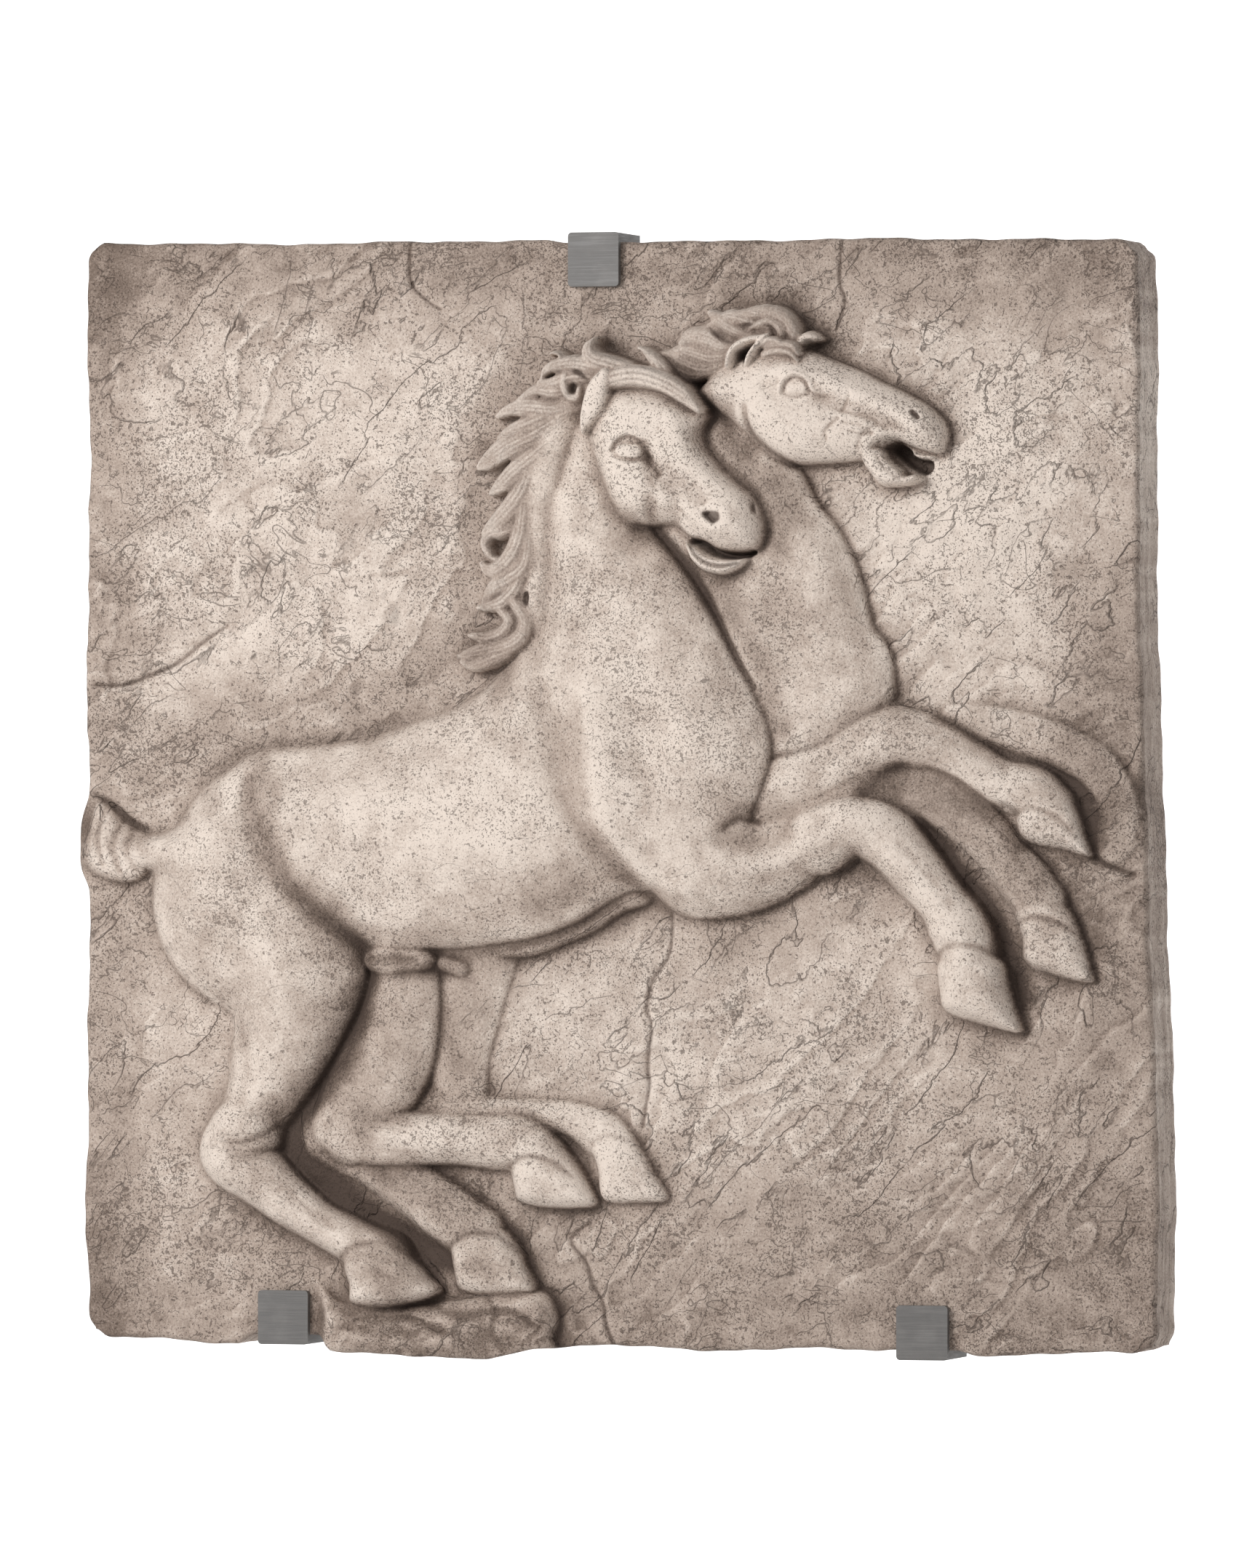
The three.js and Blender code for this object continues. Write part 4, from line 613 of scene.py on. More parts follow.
def carveManes(c):
    # both manes, lock by lock over a bed of hair; the locks' heights are counted from one level
    c.mass([[480, 885], [450, 880], [420, 850], [400, 812], [392, 772], [396, 720], [392, 680],
            [384, 652], [378, 634], [416, 628], [440, 655], [446, 700], [446, 750], [458, 806],
            [472, 838], [500, 850]], 31, 30, groove=1.5, hair=0.4, slope=(0.2, 0.02))
    top = 31
    lock(c, [[395, 628, 6, top - 2], [378, 622, 7, top - 5], [362, 617, 5, top - 10],
             [351, 620, 2, top - 14]])
    lock(c, [[388, 668, 5, top - 4], [397, 657, 6, top - 3], [390, 646, 7, top - 6],
             [375, 641, 6, top - 10], [358, 644, 2, top - 14]])
    lock(c, [[402, 674, 6, top], [412, 658, 7, top], [408, 643, 8, top], [392, 633, 8, top - 4],
             [370, 629, 7, top - 9], [348, 625, 2, top - 14]], 4)
    lock(c, [[412, 702, 6, top], [402, 685, 7, top - 1], [391, 675, 7, top - 4], [380, 671, 5, top - 8],
             [367, 669, 2, top - 12]])
    lock(c, [[417, 738, 6, top + 1], [413, 709, 8, top + 1], [398, 695, 9, top - 2],
             [383, 687, 7, top - 6], [372, 674, 2, top - 12]], 4)
    lock(c, [[405, 744, 5, top - 3], [391, 738, 6, top - 5], [378, 736, 5, top - 7],
             [373, 726, 4, top - 9], [379, 715, 3, top - 10], [387, 713, 2, top - 11]], 2)
    lock(c, [[412, 764, 7, top + 1], [409, 738, 9, top + 1], [400, 716, 9, top - 1],
             [388, 704, 8, top - 5], [377, 703, 5, top - 9], [370, 709, 2, top - 12]], 4)
    lock(c, [[420, 802, 6, top + 2], [412, 779, 9, top + 1], [398, 759, 9, top - 2],
             [384, 745, 7, top - 7], [372, 737, 2, top - 12]], 4)
    lock(c, [[444, 830, 6, top + 5], [428, 812, 8, top + 3], [408, 796, 9, top], [392, 782, 7, top - 5],
             [379, 772, 2, top - 12]], 4)
    lock(c, [[456, 846, 6, top + 7], [435, 834, 9, top + 5], [412, 822, 10, top + 1],
             [390, 811, 9, top - 4], [376, 801, 6, top - 8], [368, 796, 2, top - 12]], 5)
    lock(c, [[452, 848, 5, top + 7], [425, 839, 7, top + 4], [402, 830, 6, top],
             [387, 823, 2, top - 8]], 3)
    lock(c, [[464, 851, 6, top + 9], [440, 848, 8, top + 7], [416, 850, 8, top + 3],
             [398, 848, 5, top - 2], [386, 842, 2, top - 9]], 4)
    lock(c, [[460, 866, 6, top + 10], [440, 864, 7, top + 8], [424, 866, 5, top + 4],
             [406, 857, 2, top - 4]], 3)
    lock(c, [[477, 877, 6, top + 13], [456, 876, 8, top + 11], [440, 871, 6, top + 8],
             [426, 873, 2, top + 2]], 3)
    lock(c, [[482, 884, 6, top + 14], [463, 889, 7, top + 13], [445, 888, 6, top + 10],
             [434, 884, 4, top + 6], [429, 877, 2, top + 2]], 3)
    lock(c, [[449, 888, 3, top + 9], [448, 896, 2.6, top + 8], [442, 899, 2.2, top + 7],
             [436, 898, 1.4, top + 5]], 0)
    lock(c, [[508, 882, 8, top + 16], [492, 887, 8, top + 15], [477, 893, 7, top + 13],
             [473, 903, 5, top + 10], [479, 912, 1.6, top + 6]], 3)
    lock(c, [[552, 872, 5, top + 12], [543, 882, 6, top + 11], [534, 892, 5, top + 9],
             [526, 900, 3, top + 7], [519, 903, 1.4, top + 4]], 3)
    # leaf shaped loop beside the ear
    lock(c, [[452, 880, 3, top + 14], [451, 870, 4.5, top + 15], [456, 860, 4.5, top + 16],
             [464, 858, 4, top + 16], [466, 866, 3, top + 15]], 2)
    c.hollow([[455, 866], [459, 873], [463, 868], [461, 861], [457, 861]], 5, top + 14, 2.5)
    c.hollow([[409, 676], [411, 683], [416, 684], [417, 676], [414, 669]], 7, top - 3, 2.5)
    c.hollow([[458, 882], [464, 884], [472, 878], [476, 872], [468, 876]], 5, top + 11, 2.5)
    # far horse: bed and waves of the mane
    c.mass([[540, 896], [560, 912], [585, 930], [620, 936], [655, 932], [668, 912], [640, 900],
            [605, 890], [580, 874], [560, 878]], 24, 12, groove=3, hair=0.7)
    top = 29
    lock(c, [[586, 882, 5, top - 3], [570, 878, 6, top - 4], [556, 884, 5, top - 6],
             [542, 892, 2, top - 10]], 3)
    lock(c, [[600, 888, 6, top], [580, 884, 8, top - 1], [562, 890, 7, top - 3], [548, 896, 5, top - 6],
             [534, 897, 2, top - 9]], 4)
    lock(c, [[606, 896, 7, top + 3], [588, 894, 9, top + 2], [570, 899, 8, top], [558, 901, 4, top - 4],
             [545, 898, 2, top - 7]], 5)
    lock(c, [[612, 903, 5, top + 4], [598, 903, 8, top + 4], [584, 909, 10, top + 3], [569, 912, 8, top],
             [559, 907, 3, top - 4]], 6, depth=1.3)
    lock(c, [[632, 912, 5, top + 4], [618, 914, 6, top + 3], [604, 921, 7, top + 2], [594, 928, 6, top],
             [586, 934, 3, top - 4]], 4)
    lock(c, [[640, 920, 5, top + 4], [628, 922, 5, top + 4], [616, 928, 6, top + 3], [603, 930, 6, top],
             [590, 925, 3, top - 4], [584, 921, 2, top - 7]], 3)
    lock(c, [[664, 904, 6, top + 4], [662, 917, 7, top + 4], [651, 929, 8, top + 3],
             [634, 933, 7, top + 2], [618, 932, 5, top], [606, 934, 2, top - 4]], 5, depth=1.3)
    lock(c, [[654, 908, 5, top + 6], [652, 919, 5, top + 6], [643, 926, 4, top + 5],
             [632, 923, 4, top + 4], [624, 919, 2, top + 2]], 3)
    c.hollow([[614, 921], [622, 925], [630, 923], [622, 920]], 4, top, 2)
    c.hollow([[584, 923], [594, 916], [604, 909], [616, 907], [604, 906], [592, 912]], 5, top, 2.5)


def carveFarHead(c):
    # skull and lower jaw as rounded masses, then planes, eye, muzzle, ears and forelock over them
    c.mass([[572, 862], [580, 874], [590, 883], [612, 896], [640, 904], [665, 904], [690, 894],
            [720, 882], [740, 872], [762, 862], [784, 850], [797, 838], [802, 828], [802, 818],
            [797, 807], [782, 808], [768, 813], [757, 817], [746, 812], [736, 800], [715, 799],
            [685, 797], [656, 797], [634, 808], [612, 826],
            [588, 846]], 36, 27, groove=6, base=6, power=2.0)
    c.mass([[728, 815], [744, 812], [752, 800], [762, 792], [766, 786], [777, 788], [780, 783],
            [772, 778], [758, 776], [744, 777], [734, 787], [726, 800]], 30, 9, groove=4, base=8)
    # jowl: a round disc whose back edge is cut in, and the throat behind it falls away
    c.deepen = 1.65
    c.lump((660, 836), (42, 38), 3.0, 36)
    c.press([[620, 848, 3.4, 0.6], [621, 834, 4], [626, 822, 4.4], [636, 812, 4.4], [650, 803, 4],
             [662, 797, 3]], 4.4, 34, washAndShade=0.5)
    c.press([[604, 850, 12], [608, 830, 12], [622, 812, 10]], 2.6, 32)
    # brow, socket, eye
    c.lump((668, 880), (26, 8, -8), 2.2, 37)
    c.lump((669, 865), (17, 12), -2.0, 37)
    c.limb([[663, 866, 6.5, 38.4], [674, 866, 6.5, 38.4]], blend=0.6, base=33, power=2.0)
    c.press([[653, 862, 1.8], [657, 873, 2.0], [668, 879, 2.0], [679, 874, 2.0], [684, 863, 1.8],
             [692, 859, 1.2, 0.5]], -1.8, 37)
    c.press([[657, 862, 1.2], [660, 870, 1.3], [668, 875, 1.3], [677, 871, 1.3],
             [681, 862, 1.2]], 1.6, 37, washAndShade=0.75)
    c.press([[656, 860, 1.2], [668, 857, 1.3], [680, 860, 1.2]], 1.2, 37, washAndShade=0.4)
    c.press([[684, 862, 1.6], [692, 858, 1.8], [702, 857, 1.2, 0.4]], 1.2, 37, washAndShade=0.35)
    c.press([[640, 868, 5], [648, 860, 5], [656, 856, 4, 0.5]], 1.2, 37)
    # bridge, cheek bone and the muscles of the muzzle
    c.press([[700, 872, 8], [730, 860, 8], [760, 846, 7]], -1.2, 36)
    c.press([[690, 856, 7], [720, 848, 8], [748, 838, 8], [764, 828, 6]], 2.0, 36)
    c.press([[708, 838, 1.4], [702, 833, 1.6], [696, 826, 1.6], [697, 818, 1.2]], 1.4, 36, washAndShade=0.45)
    c.press([[718, 863, 1.2, 0.5], [716, 854, 1.6], [711, 844, 1.4]], 1.2, 36, washAndShade=0.4)
    c.press([[718, 826, 1.4], [728, 824, 1.6], [738, 824, 1.2]], 1.0, 36, washAndShade=0.35)
    c.press([[706, 846, 1.8], [720, 842, 2], [736, 838, 2], [750, 828, 1.6]], 1.0, 36, washAndShade=0.32)
    c.press([[712, 834, 1.8], [726, 832, 2], [738, 824, 1.8]], 0.9, 36, washAndShade=0.2)
    c.press([[730, 806, 3], [736, 816, 3.4], [746, 823, 3.4], [760, 824, 3]], -1.6, 35)
    c.press([[724, 812, 2], [730, 824, 2], [742, 832, 2]], 1.1, 35, washAndShade=0.35)
    # nostril and lips
    c.lump((779, 842), (9, 9), 1.8, 36)
    c.hollow([[772, 843], [775, 846], [779, 843], [783, 838], [780, 835], [776, 838]], 6, 36, 1.8)
    c.hollow([[747, 811], [756, 816], [765, 812], [776, 803], [786, 801], [789, 793], [781, 786],
              [770, 790], [761, 796], [753, 803]], 20, 30, 3.5)
    c.press([[768, 805, 2.6], [780, 803, 2.8], [790, 803, 2.2]], -7, 26)
    c.press([[746, 812, 1.8], [751, 800, 2], [761, 792, 2], [765, 786, 2], [776, 785, 1.6]], -2.2, 30)
    c.press([[742, 806, 1.4], [747, 796, 1.5], [757, 787, 1.5], [766, 781, 1.4]], 1.4, 29, washAndShade=0.35)
    c.press([[786, 812, 2], [794, 822, 2.4], [796, 834, 2]], 0.9, 34, washAndShade=0.1)
    c.deepen = 1.0
    # near ear: a curled leaf with a dark bowl, and the far ear's tip behind
    c.limb([[668, 905, 5, 27], [676, 911, 6.5, 30], [684, 911, 4, 28],
            [689, 910, 1.5, 26]], blend=0.8, groove=2)
    c.hollow([[671, 906], [677, 910], [684, 909], [677, 904]], 3, 28, 2, washAndShade=0.7)
    c.limb([[604, 886, 4, 40], [606, 896, 4, 43], [613, 904, 4.6, 45], [624, 909, 4, 44],
            [634, 911, 3, 42], [642, 914, 1.5, 40]], blend=0.8, groove=3, base=20)
    c.limb([[621, 887, 3, 40], [625, 896, 3.4, 42], [632, 905, 3.2, 42],
            [641, 913, 1.6, 40]], blend=0.8, groove=1, base=24)
    c.hollow([[609, 890], [610, 898], [616, 902], [624, 905], [622, 896], [619, 889],
              [614, 891]], 7, 42, 3)
    c.press([[620, 888, 1.6], [616, 891, 1.8], [611, 890, 1.4]], 2.5, 40, washAndShade=0.9)
    # curls of the forelock over the brow
    lock(c, [[640, 903, 4, 40], [652, 905, 4, 41], [664, 903, 4, 41], [670, 896, 2, 39]], 2, groove=1.2)
    lock(c, [[638, 896, 4, 40], [650, 899, 3.6, 41], [662, 897, 3.4, 41],
             [669, 890, 1.6, 39]], 2, groove=1.2)
    lock(c, [[636, 904, 3, 40], [642, 909, 3, 41], [650, 908, 3, 41], [657, 905, 1.6, 40]], 1, groove=1.2)


toolMarks = (  # where each starts, and how far it runs in u and v
    (512, 842, 12, 7),
    (532, 832, 5, 5),
    (540, 824, 4, 8),
    (549, 802, 6, 3),
    (572, 776, 6, 6),
    (589, 770, 9, 4),
    (566, 820, 8, -4),
    (545, 838, 1, 7),
    (518, 856, -5, -4),
    (588, 776, 7, 1),
)


def carveNearHead(c):
    # the same for the near head, which stands highest
    c.mass([[492, 872], [528, 870], [556, 862], [574, 852], [584, 842], [579, 828], [582, 814],
            [591, 802], [601, 791], [613, 781], [624, 772], [632, 760], [636, 747], [636, 734],
            [631, 722], [622, 717], [606, 715], [592, 717], [580, 723], [567, 728], [556, 735],
            [546, 741], [528, 741], [510, 742], [496, 750], [486, 764], [478, 784], [468, 812],
            [466, 840]], 53, 33, groove=8, reach=5, base=10, power=2.0, slope=(0.03, -0.01))
    # chin and lower lip, a ring that opens to the right
    c.mass([[562, 730], [566, 716], [572, 707], [582, 700], [598, 697], [610, 701], [618, 707],
            [620, 713], [604, 713], [590, 715], [578, 721], [570, 728]], 45, 6, groove=4, base=16)
    c.deepen = 1.7
    # skull planes: forehead, nose bridge, side of the face
    c.lump((530, 842), (30, 18), 2.0, 53)
    c.press([[552, 838, 9], [572, 806, 9], [596, 782, 8], [616, 764, 7]], -2.0, 53)
    c.press([[536, 800, 9], [556, 786, 11], [576, 770, 10], [586, 760, 7]], 3.0, 53)
    c.press([[497, 796, 7], [514, 790, 8], [532, 778, 7], [548, 764, 6]], -2.2, 53)
    c.lump((514, 768), (24, 20, -30), 1.6, 53)
    c.press([[470, 812, 8], [480, 784, 8], [494, 760, 8], [516, 746, 6]], 2.2, 50, washAndShade=0.15)
    c.press([[529, 790, 4, 0.5], [535, 780, 6], [536, 766, 7], [531, 750, 6]], 2.6, 52, washAndShade=0.2)
    c.press([[552, 776, 9], [558, 758, 9], [558, 746, 6]], 1.6, 52)
    c.lump((508, 774), (26, 24, -30), 2.4, 53)
    # socket, eye and lids
    c.lump((515, 810), (19, 14), -2.6, 54)
    c.press([[494, 812, 4], [504, 825, 4.5], [516, 828, 4.5], [528, 822, 4]], -2.4, 54)
    c.limb([[508, 809, 7, 55], [519, 809, 7, 55]], blend=0.6, base=48, power=2.0)
    c.press([[498, 810, 1.4], [503, 818, 1.6], [512, 822, 1.6], [521, 820, 1.6], [527, 813, 1.6],
             [531, 803, 1.4]], 2.0, 54, washAndShade=0.7)
    c.press([[501, 806, 1.4], [511, 801.5, 1.5], [522, 801.5, 1.5], [530, 801, 1.4]], 1.6, 54, washAndShade=0.5)
    c.press([[500, 803, 2], [512, 798, 2.2], [524, 797, 2]], -1.4, 54)
    c.press([[528, 804, 4], [534, 796, 4.5], [541, 788, 3.5]], 2.6, 54, washAndShade=0.3)
    c.press([[528, 818, 4], [531, 808, 4], [532, 800, 3]], 2.0, 54, washAndShade=0.25)
    # nostrils
    c.lump((593, 750), (13, 12), 2.4, 52)
    c.press([[583, 757, 2.2], [592, 761, 2.6], [603, 758, 2.8], [606, 748, 2.8], [600, 740, 2.6],
             [590, 739, 2]], -1.8, 53)
    c.hollow([[583, 752], [587, 756], [594, 756], [600, 754], [601, 747], [596, 743], [591, 744],
              [587, 747]], 7.5, 52, 3.2, washAndShade=0.8)
    c.press([[585, 752, 2.4], [588, 749, 2.6], [593, 745, 2]], 4, 52, washAndShade=1.0)
    c.hollow([[624, 764], [627, 762], [629, 756], [630, 750], [626, 753], [624, 758]], 4.5, 51, 1.8)
    c.press([[632, 764, 2], [636, 754, 2.4], [637, 742, 2.2]], -1.2, 50)
    # mouth: gap under the upper lip, groove behind the lower lip
    c.press([[568, 728, 1.8], [578, 726, 2.4], [588, 719, 2.8], [600, 715, 3.0], [613, 714, 2.8],
             [624, 718, 1.8]], 11, 48, washAndShade=1.0)
    c.press([[569, 726, 1.5], [575, 716, 1.8], [586, 708, 1.8], [600, 705, 1.8],
             [614, 708, 1.5]], 3.4, 45, washAndShade=0.9)
    c.press([[572, 722, 1.6], [580, 714, 1.8], [592, 710, 1.8], [606, 709, 1.8],
             [617, 712, 1.5]], -2.2, 45)
    c.press([[560, 744, 2], [566, 736, 2.6], [572, 732, 2.2]], -1.4, 50)
    c.press([[561, 757, 1.3], [567, 750, 1.4], [573, 742, 1.2, 0.4]], 1.1, 52, washAndShade=0.5)
    c.press([[552, 744, 3], [560, 736, 3], [566, 728, 2.4]], 1.8, 48, washAndShade=0.25)
    # wrinkles at the eye and scratches of the modelling tool
    for u0, v0, du, dv in toolMarks:
        c.press([[u0, v0, 0.9], [u0 + du * 0.5, v0 + dv * 0.5 + 1, 1.1],
                 [u0 + du, v0 + dv, 0.7]], 0.9, 53, washAndShade=0.35)
    c.deepen = 1.0
    # ear, laid back, a leaf that hangs from the poll
    c.limb([[490, 879, 6, 54], [484, 866, 11.5, 57], [479, 850, 11.5, 57], [473, 837, 7, 55],
            [470, 826, 2, 52]], blend=0.8, groove=3, base=36)
    c.press([[492, 872, 3], [490, 858, 3.2], [485, 844, 3], [478, 832, 2]], 1.0, 56, washAndShade=0.2)
    c.press([[482, 872, 2.6], [474, 858, 2.6], [469, 846, 2.4], [472, 836, 2]], -1.2, 56)
    c.press([[474, 838, 2], [474, 832, 2], [473, 827, 1.4]], 1.4, 54, washAndShade=0.4)
    # forelock swept over the forehead
    c.limb([[486, 871, 9, 48], [505, 876, 11, 51], [525, 876, 11, 52], [546, 870, 10, 52],
            [562, 860, 9, 51], [578, 846, 4, 49]], blend=3.0, groove=2, base=36, power=2.2, strands=4,
           strandDepth=1.3, hair=0.8)
    c.press([[494, 863, 1.6], [513, 865, 1.8], [536, 862, 1.8], [556, 853, 1.6],
             [572, 843, 1.3]], 1.8, 52, washAndShade=0.5)
    c.press([[486, 862, 1.6], [500, 868, 1.8], [520, 870, 1.8]], 1.0, 52, washAndShade=0.3)


def shadeAndStainHollows(c):
    # painted shade between the forms, with the brown wash left thick: between the legs, behind the heads,
    # on the rock
    c.stainAndShade([[575, 872, 14], [600, 830, 16], [628, 795, 18], [656, 758, 18],
             [652, 722, 16]], 0.36, 20, under=44)
    # painted shade on the heads: under the eyes, behind the jowls, on the cheeks
    c.stainAndShade([[528, 806, 5], [536, 796, 6], [540, 786, 5]], 0.20, 54)
    c.stainAndShade([[500, 815, 4], [512, 823, 4], [524, 820, 4]], 0.14, 54)
    c.stainAndShade([[476, 826, 7], [480, 796, 8], [494, 768, 9], [518, 748, 8]], 0.16, 50)
    c.stainAndShade([[536, 778, 9], [544, 764, 9]], 0.15, 53)
    c.stainAndShade([[728, 834, 7], [744, 837, 7], [758, 828, 6]], 0.15, 36)
    c.stainAndShade([[590, 732, 6], [606, 728, 6]], 0.14, 50)
    c.stainAndShade([[684, 860, 5], [694, 856, 5]], 0.14, 37)
    c.stainAndShade([[622, 850, 5], [624, 828, 6], [640, 808, 7], [664, 796, 7]], 0.16, 34)
    c.stainAndShade([[700, 836, 9], [720, 830, 9]], 0.08, 36)
    c.stainAndShade([[606, 700, 14], [596, 680, 14], [616, 646, 12], [640, 606, 10],
             [655, 560, 10]], 0.30, 20, under=30)
    c.stainAndShade([[518, 738, 9], [544, 722, 12], [568, 700, 13], [584, 676, 12]], 0.38, 40)
    c.stainAndShade([[800, 566, 8], [844, 542, 10], [907, 520, 11], [940, 484, 12],
             [944, 456, 8]], 0.42, 0, under=20)
    c.stainAndShade([[840, 574, 18], [920, 552, 22], [960, 500, 20]], 0.20, 0, under=20)
    c.stainAndShade([[728, 500, 8], [756, 524, 9], [800, 524, 9], [844, 482, 9],
             [874, 452, 8]], 0.5, 14, under=23)
    c.stainAndShade([[738, 506, 16], [790, 504, 20], [822, 482, 18], [848, 452, 14]], 0.34, 16, under=30)
    c.stainAndShade([[785, 472, 10], [813, 434, 13], [844, 396, 14], [868, 354, 13],
             [878, 318, 10]], 0.62, 0, under=20)
    c.stainAndShade([[700, 545, 6], [754, 568, 7], [822, 548, 7], [884, 522, 7]], 0.10, 24)
    c.stainAndShade([[742, 440, 9], [776, 400, 9], [792, 370, 8]], 0.08, 34)
    c.stainAndShade([[866, 470, 6], [872, 462, 7], [868, 450, 6]], 0.30, 24)
    c.stainAndShade([[156, 530, 14], [168, 480, 18], [192, 430, 19], [230, 385, 16], [256, 358, 12]], 0.38, 42)
    c.stainAndShade([[352, 640, 14], [350, 680, 14], [360, 720, 14], [362, 780, 15], [368, 830, 16],
             [392, 872, 15], [424, 902, 14]], 0.20, 0, under=26)
    c.stainAndShade([[346, 640, 24], [372, 622, 22], [394, 604, 18]], 0.20, 4, under=30)
    c.stainAndShade([[370, 396, 24], [430, 416, 26], [474, 452, 20]], 0.14, 42)
    c.stainAndShade([[450, 566, 13], [462, 520, 14], [474, 480, 14], [492, 446, 12]], 0.16, 45)
    c.stainAndShade([[420, 398, 14], [470, 414, 16], [506, 420, 12]], 0.26, 42)
    c.stainAndShade([[400, 356, 12], [440, 368, 12], [480, 386, 14], [520, 402, 12],
             [540, 396, 10]], 0.30, 18, under=30)
    c.stainAndShade([[630, 566, 7], [638, 540, 8], [630, 508, 7]], 0.16, 40)
    c.stainAndShade([[270, 348, 11], [259, 300, 13], [243, 262, 14], [216, 226, 14], [194, 200, 13],
             [194, 174, 12], [212, 158, 12], [244, 132, 12], [284, 106, 12], [312, 86, 12],
             [336, 76, 11]], 0.8, 8, under=33)
    c.stainAndShade([[230, 176, 14], [262, 160, 14]], 0.22, 14, under=31)
    c.stainAndShade([[372, 76, 16], [396, 62, 14]], 0.10, 24)
    c.stainAndShade([[284, 62, 16], [306, 52, 16]], 0.14, 34)
    c.stainAndShade([[222, 18, 26], [300, 16, 30], [360, 18, 30], [430, 18, 24]], 0.20, 8)
    # brown on the hooves, and painted shade on the lower legs and along the body's forms
    c.stainAndShade([[139, 176, 22], [182, 130, 20], [240, 96, 20]], 0.08, 34)
    c.stainAndShade([[264, 82, 22], [290, 60, 26]], 0.32, 33)
    c.stainAndShade([[262, 166, 18], [300, 142, 20], [345, 116, 22], [378, 78, 28]], 0.32, 22, under=30)
    c.stainAndShade([[236, 206, 22], [262, 188, 20]], 0.22, 25)
    c.stainAndShade([[345, 186, 16], [424, 180, 18], [440, 150, 20]], 0.10, 27)
    c.stainAndShade([[780, 500, 20], [824, 470, 22], [853, 447, 22], [890, 402, 24],
             [905, 360, 26]], 0.32, 17, under=26)
    c.stainAndShade([[760, 548, 16], [852, 509, 18], [900, 488, 20], [906, 465, 22]], 0.12, 25)
    c.stainAndShade([[797, 405, 14], [828, 340, 20], [838, 315, 20]], 0.07, 36)
    c.stainAndShade([[270, 374, 12], [350, 374, 12], [430, 388, 12]], 0.12, 42)
    c.stainAndShade([[258, 348, 12], [290, 346, 13], [322, 344, 12], [350, 340, 10]], 0.52, 24)
    c.stainAndShade([[60, 520, 26], [130, 566, 30], [210, 584, 32], [300, 604, 32],
             [366, 650, 28]], 0.24, 0, under=26)
    c.stainAndShade([[96, 512, 12], [122, 532, 12], [160, 548, 13], [210, 554, 13], [260, 562, 12],
             [310, 580, 11]], 0.26, 20, under=38)
    c.stainAndShade([[52, 448, 12], [30, 456, 16], [4, 464, 18], [-10, 470, 16]], 0.30, 20)
    c.stainAndShade([[372, 356, 22], [352, 300, 24], [346, 250, 20]], 0.26, 4, under=20)
    c.stainAndShade([[300, 352, 24], [292, 320, 24], [290, 270, 20]], 0.18, 24, under=36)
    c.stainAndShade([[640, 770, 26], [650, 700, 30], [672, 640, 28]], 0.12, 24, under=34)
    c.stainAndShade([[600, 368, 26], [660, 384, 26], [730, 424, 24]], 0.16, 0, under=20)
    c.stainAndShade([[530, 775, 6], [535, 760, 7], [532, 745, 6]], 0.14, 50)
    c.stainAndShade([[600, 474, 9], [612, 484, 9], [630, 486, 8]], 0.35, 40)


largeCracks = (
    [[548, 395, 1.6], [545, 356, 1.8], [529, 332, 2], [523, 306, 2.2], [528, 290, 1.8], [524, 254, 2],
     [526, 236, 1.8], [520, 198, 1.4]],
    [[470, 112, 1.4], [452, 96, 1.6], [466, 76, 1.8], [473, 54, 2], [482, 40, 1.8], [486, 18, 1.8],
     [497, -8, 1.6]],
    [[0, 600, 1.4], [26, 600, 1.6], [52, 609, 1.8], [78, 620, 1.6], [104, 640, 1.4], [126, 654, 1.1]],
    [[300, 1003, 1.4], [301, 966, 1.8], [316, 949, 1.4], [330, 940, 1]],
    [[706, 1003, 1.4], [704, 962, 1.6], [709, 944, 1.6], [701, 918, 1.2]],
    [[935, 446, 2], [955, 436, 2.4], [978, 428, 2]],
)


def carveAll(c):
    # from the ground up: what is laid later lies over what is there
    carveGround(c)
    # broad dips that the large cracks run in
    c.press([[0, 600, 5], [50, 608, 6], [100, 637, 6], [150, 668, 4]], 1.6, 0)
    c.press([[545, 390, 4], [526, 322, 4], [523, 250, 4], [520, 200, 3]], 1.2, 0)
    c.press([[450, 100, 4], [472, 60, 4], [485, 20, 4], [495, -5, 3]], 1.2, 0)
    c.press([[930, 447, 5], [975, 430, 6]], 2, 0)
    # strokes all over, then more at the lower right, the upper right and behind the neck
    carveStrokes(c, 90, seed=3, area=(0, 978, 0, 1000), depth=1.3)
    carveStrokes(c, 70, seed=4, area=(540, 978, 0, 330), depth=1.4)
    carveStrokes(c, 30, seed=5, area=(700, 978, 560, 1000), depth=1.4)
    carveStrokes(c, 30, seed=6, area=(100, 330, 600, 900), depth=1.2)
    for path in largeCracks:
        c.press(path, 2.4, 0, washAndShade=0.9)
    carveFarLegs(c)
    carveNearBody(c)
    carveManes(c)
    carveFarHead(c)
    carveNearHead(c)
    shadeAndStainHollows(c)


# The outline that the sheet is fitted to: where the clips sit, and the height of the edge there
seats = [
    dict(middle=476.3, upper=True, edge=1000.0),
    dict(middle=181.9, upper=False, edge=7.0),
    dict(middle=783.4, upper=False, edge=0.0),
]
seatHalf = (clipPlate["width"] / 2 + clipPlate["besides"]) * perMetre
seatFade = 0.016 * perMetre
fadeBand = 46  # how far in from the rim the outline's wander is felt
sheetLeft = sheetMiddle - sheetWidth / 2
sheetRight = sheetMiddle + sheetWidth / 2


def onSeat(u, seat):
    # 1 under a clip, fading to 0 beside it
    return 1 - ease(np.clip((np.abs(u - seat["middle"]) - seatHalf) / seatFade, 0, 1))


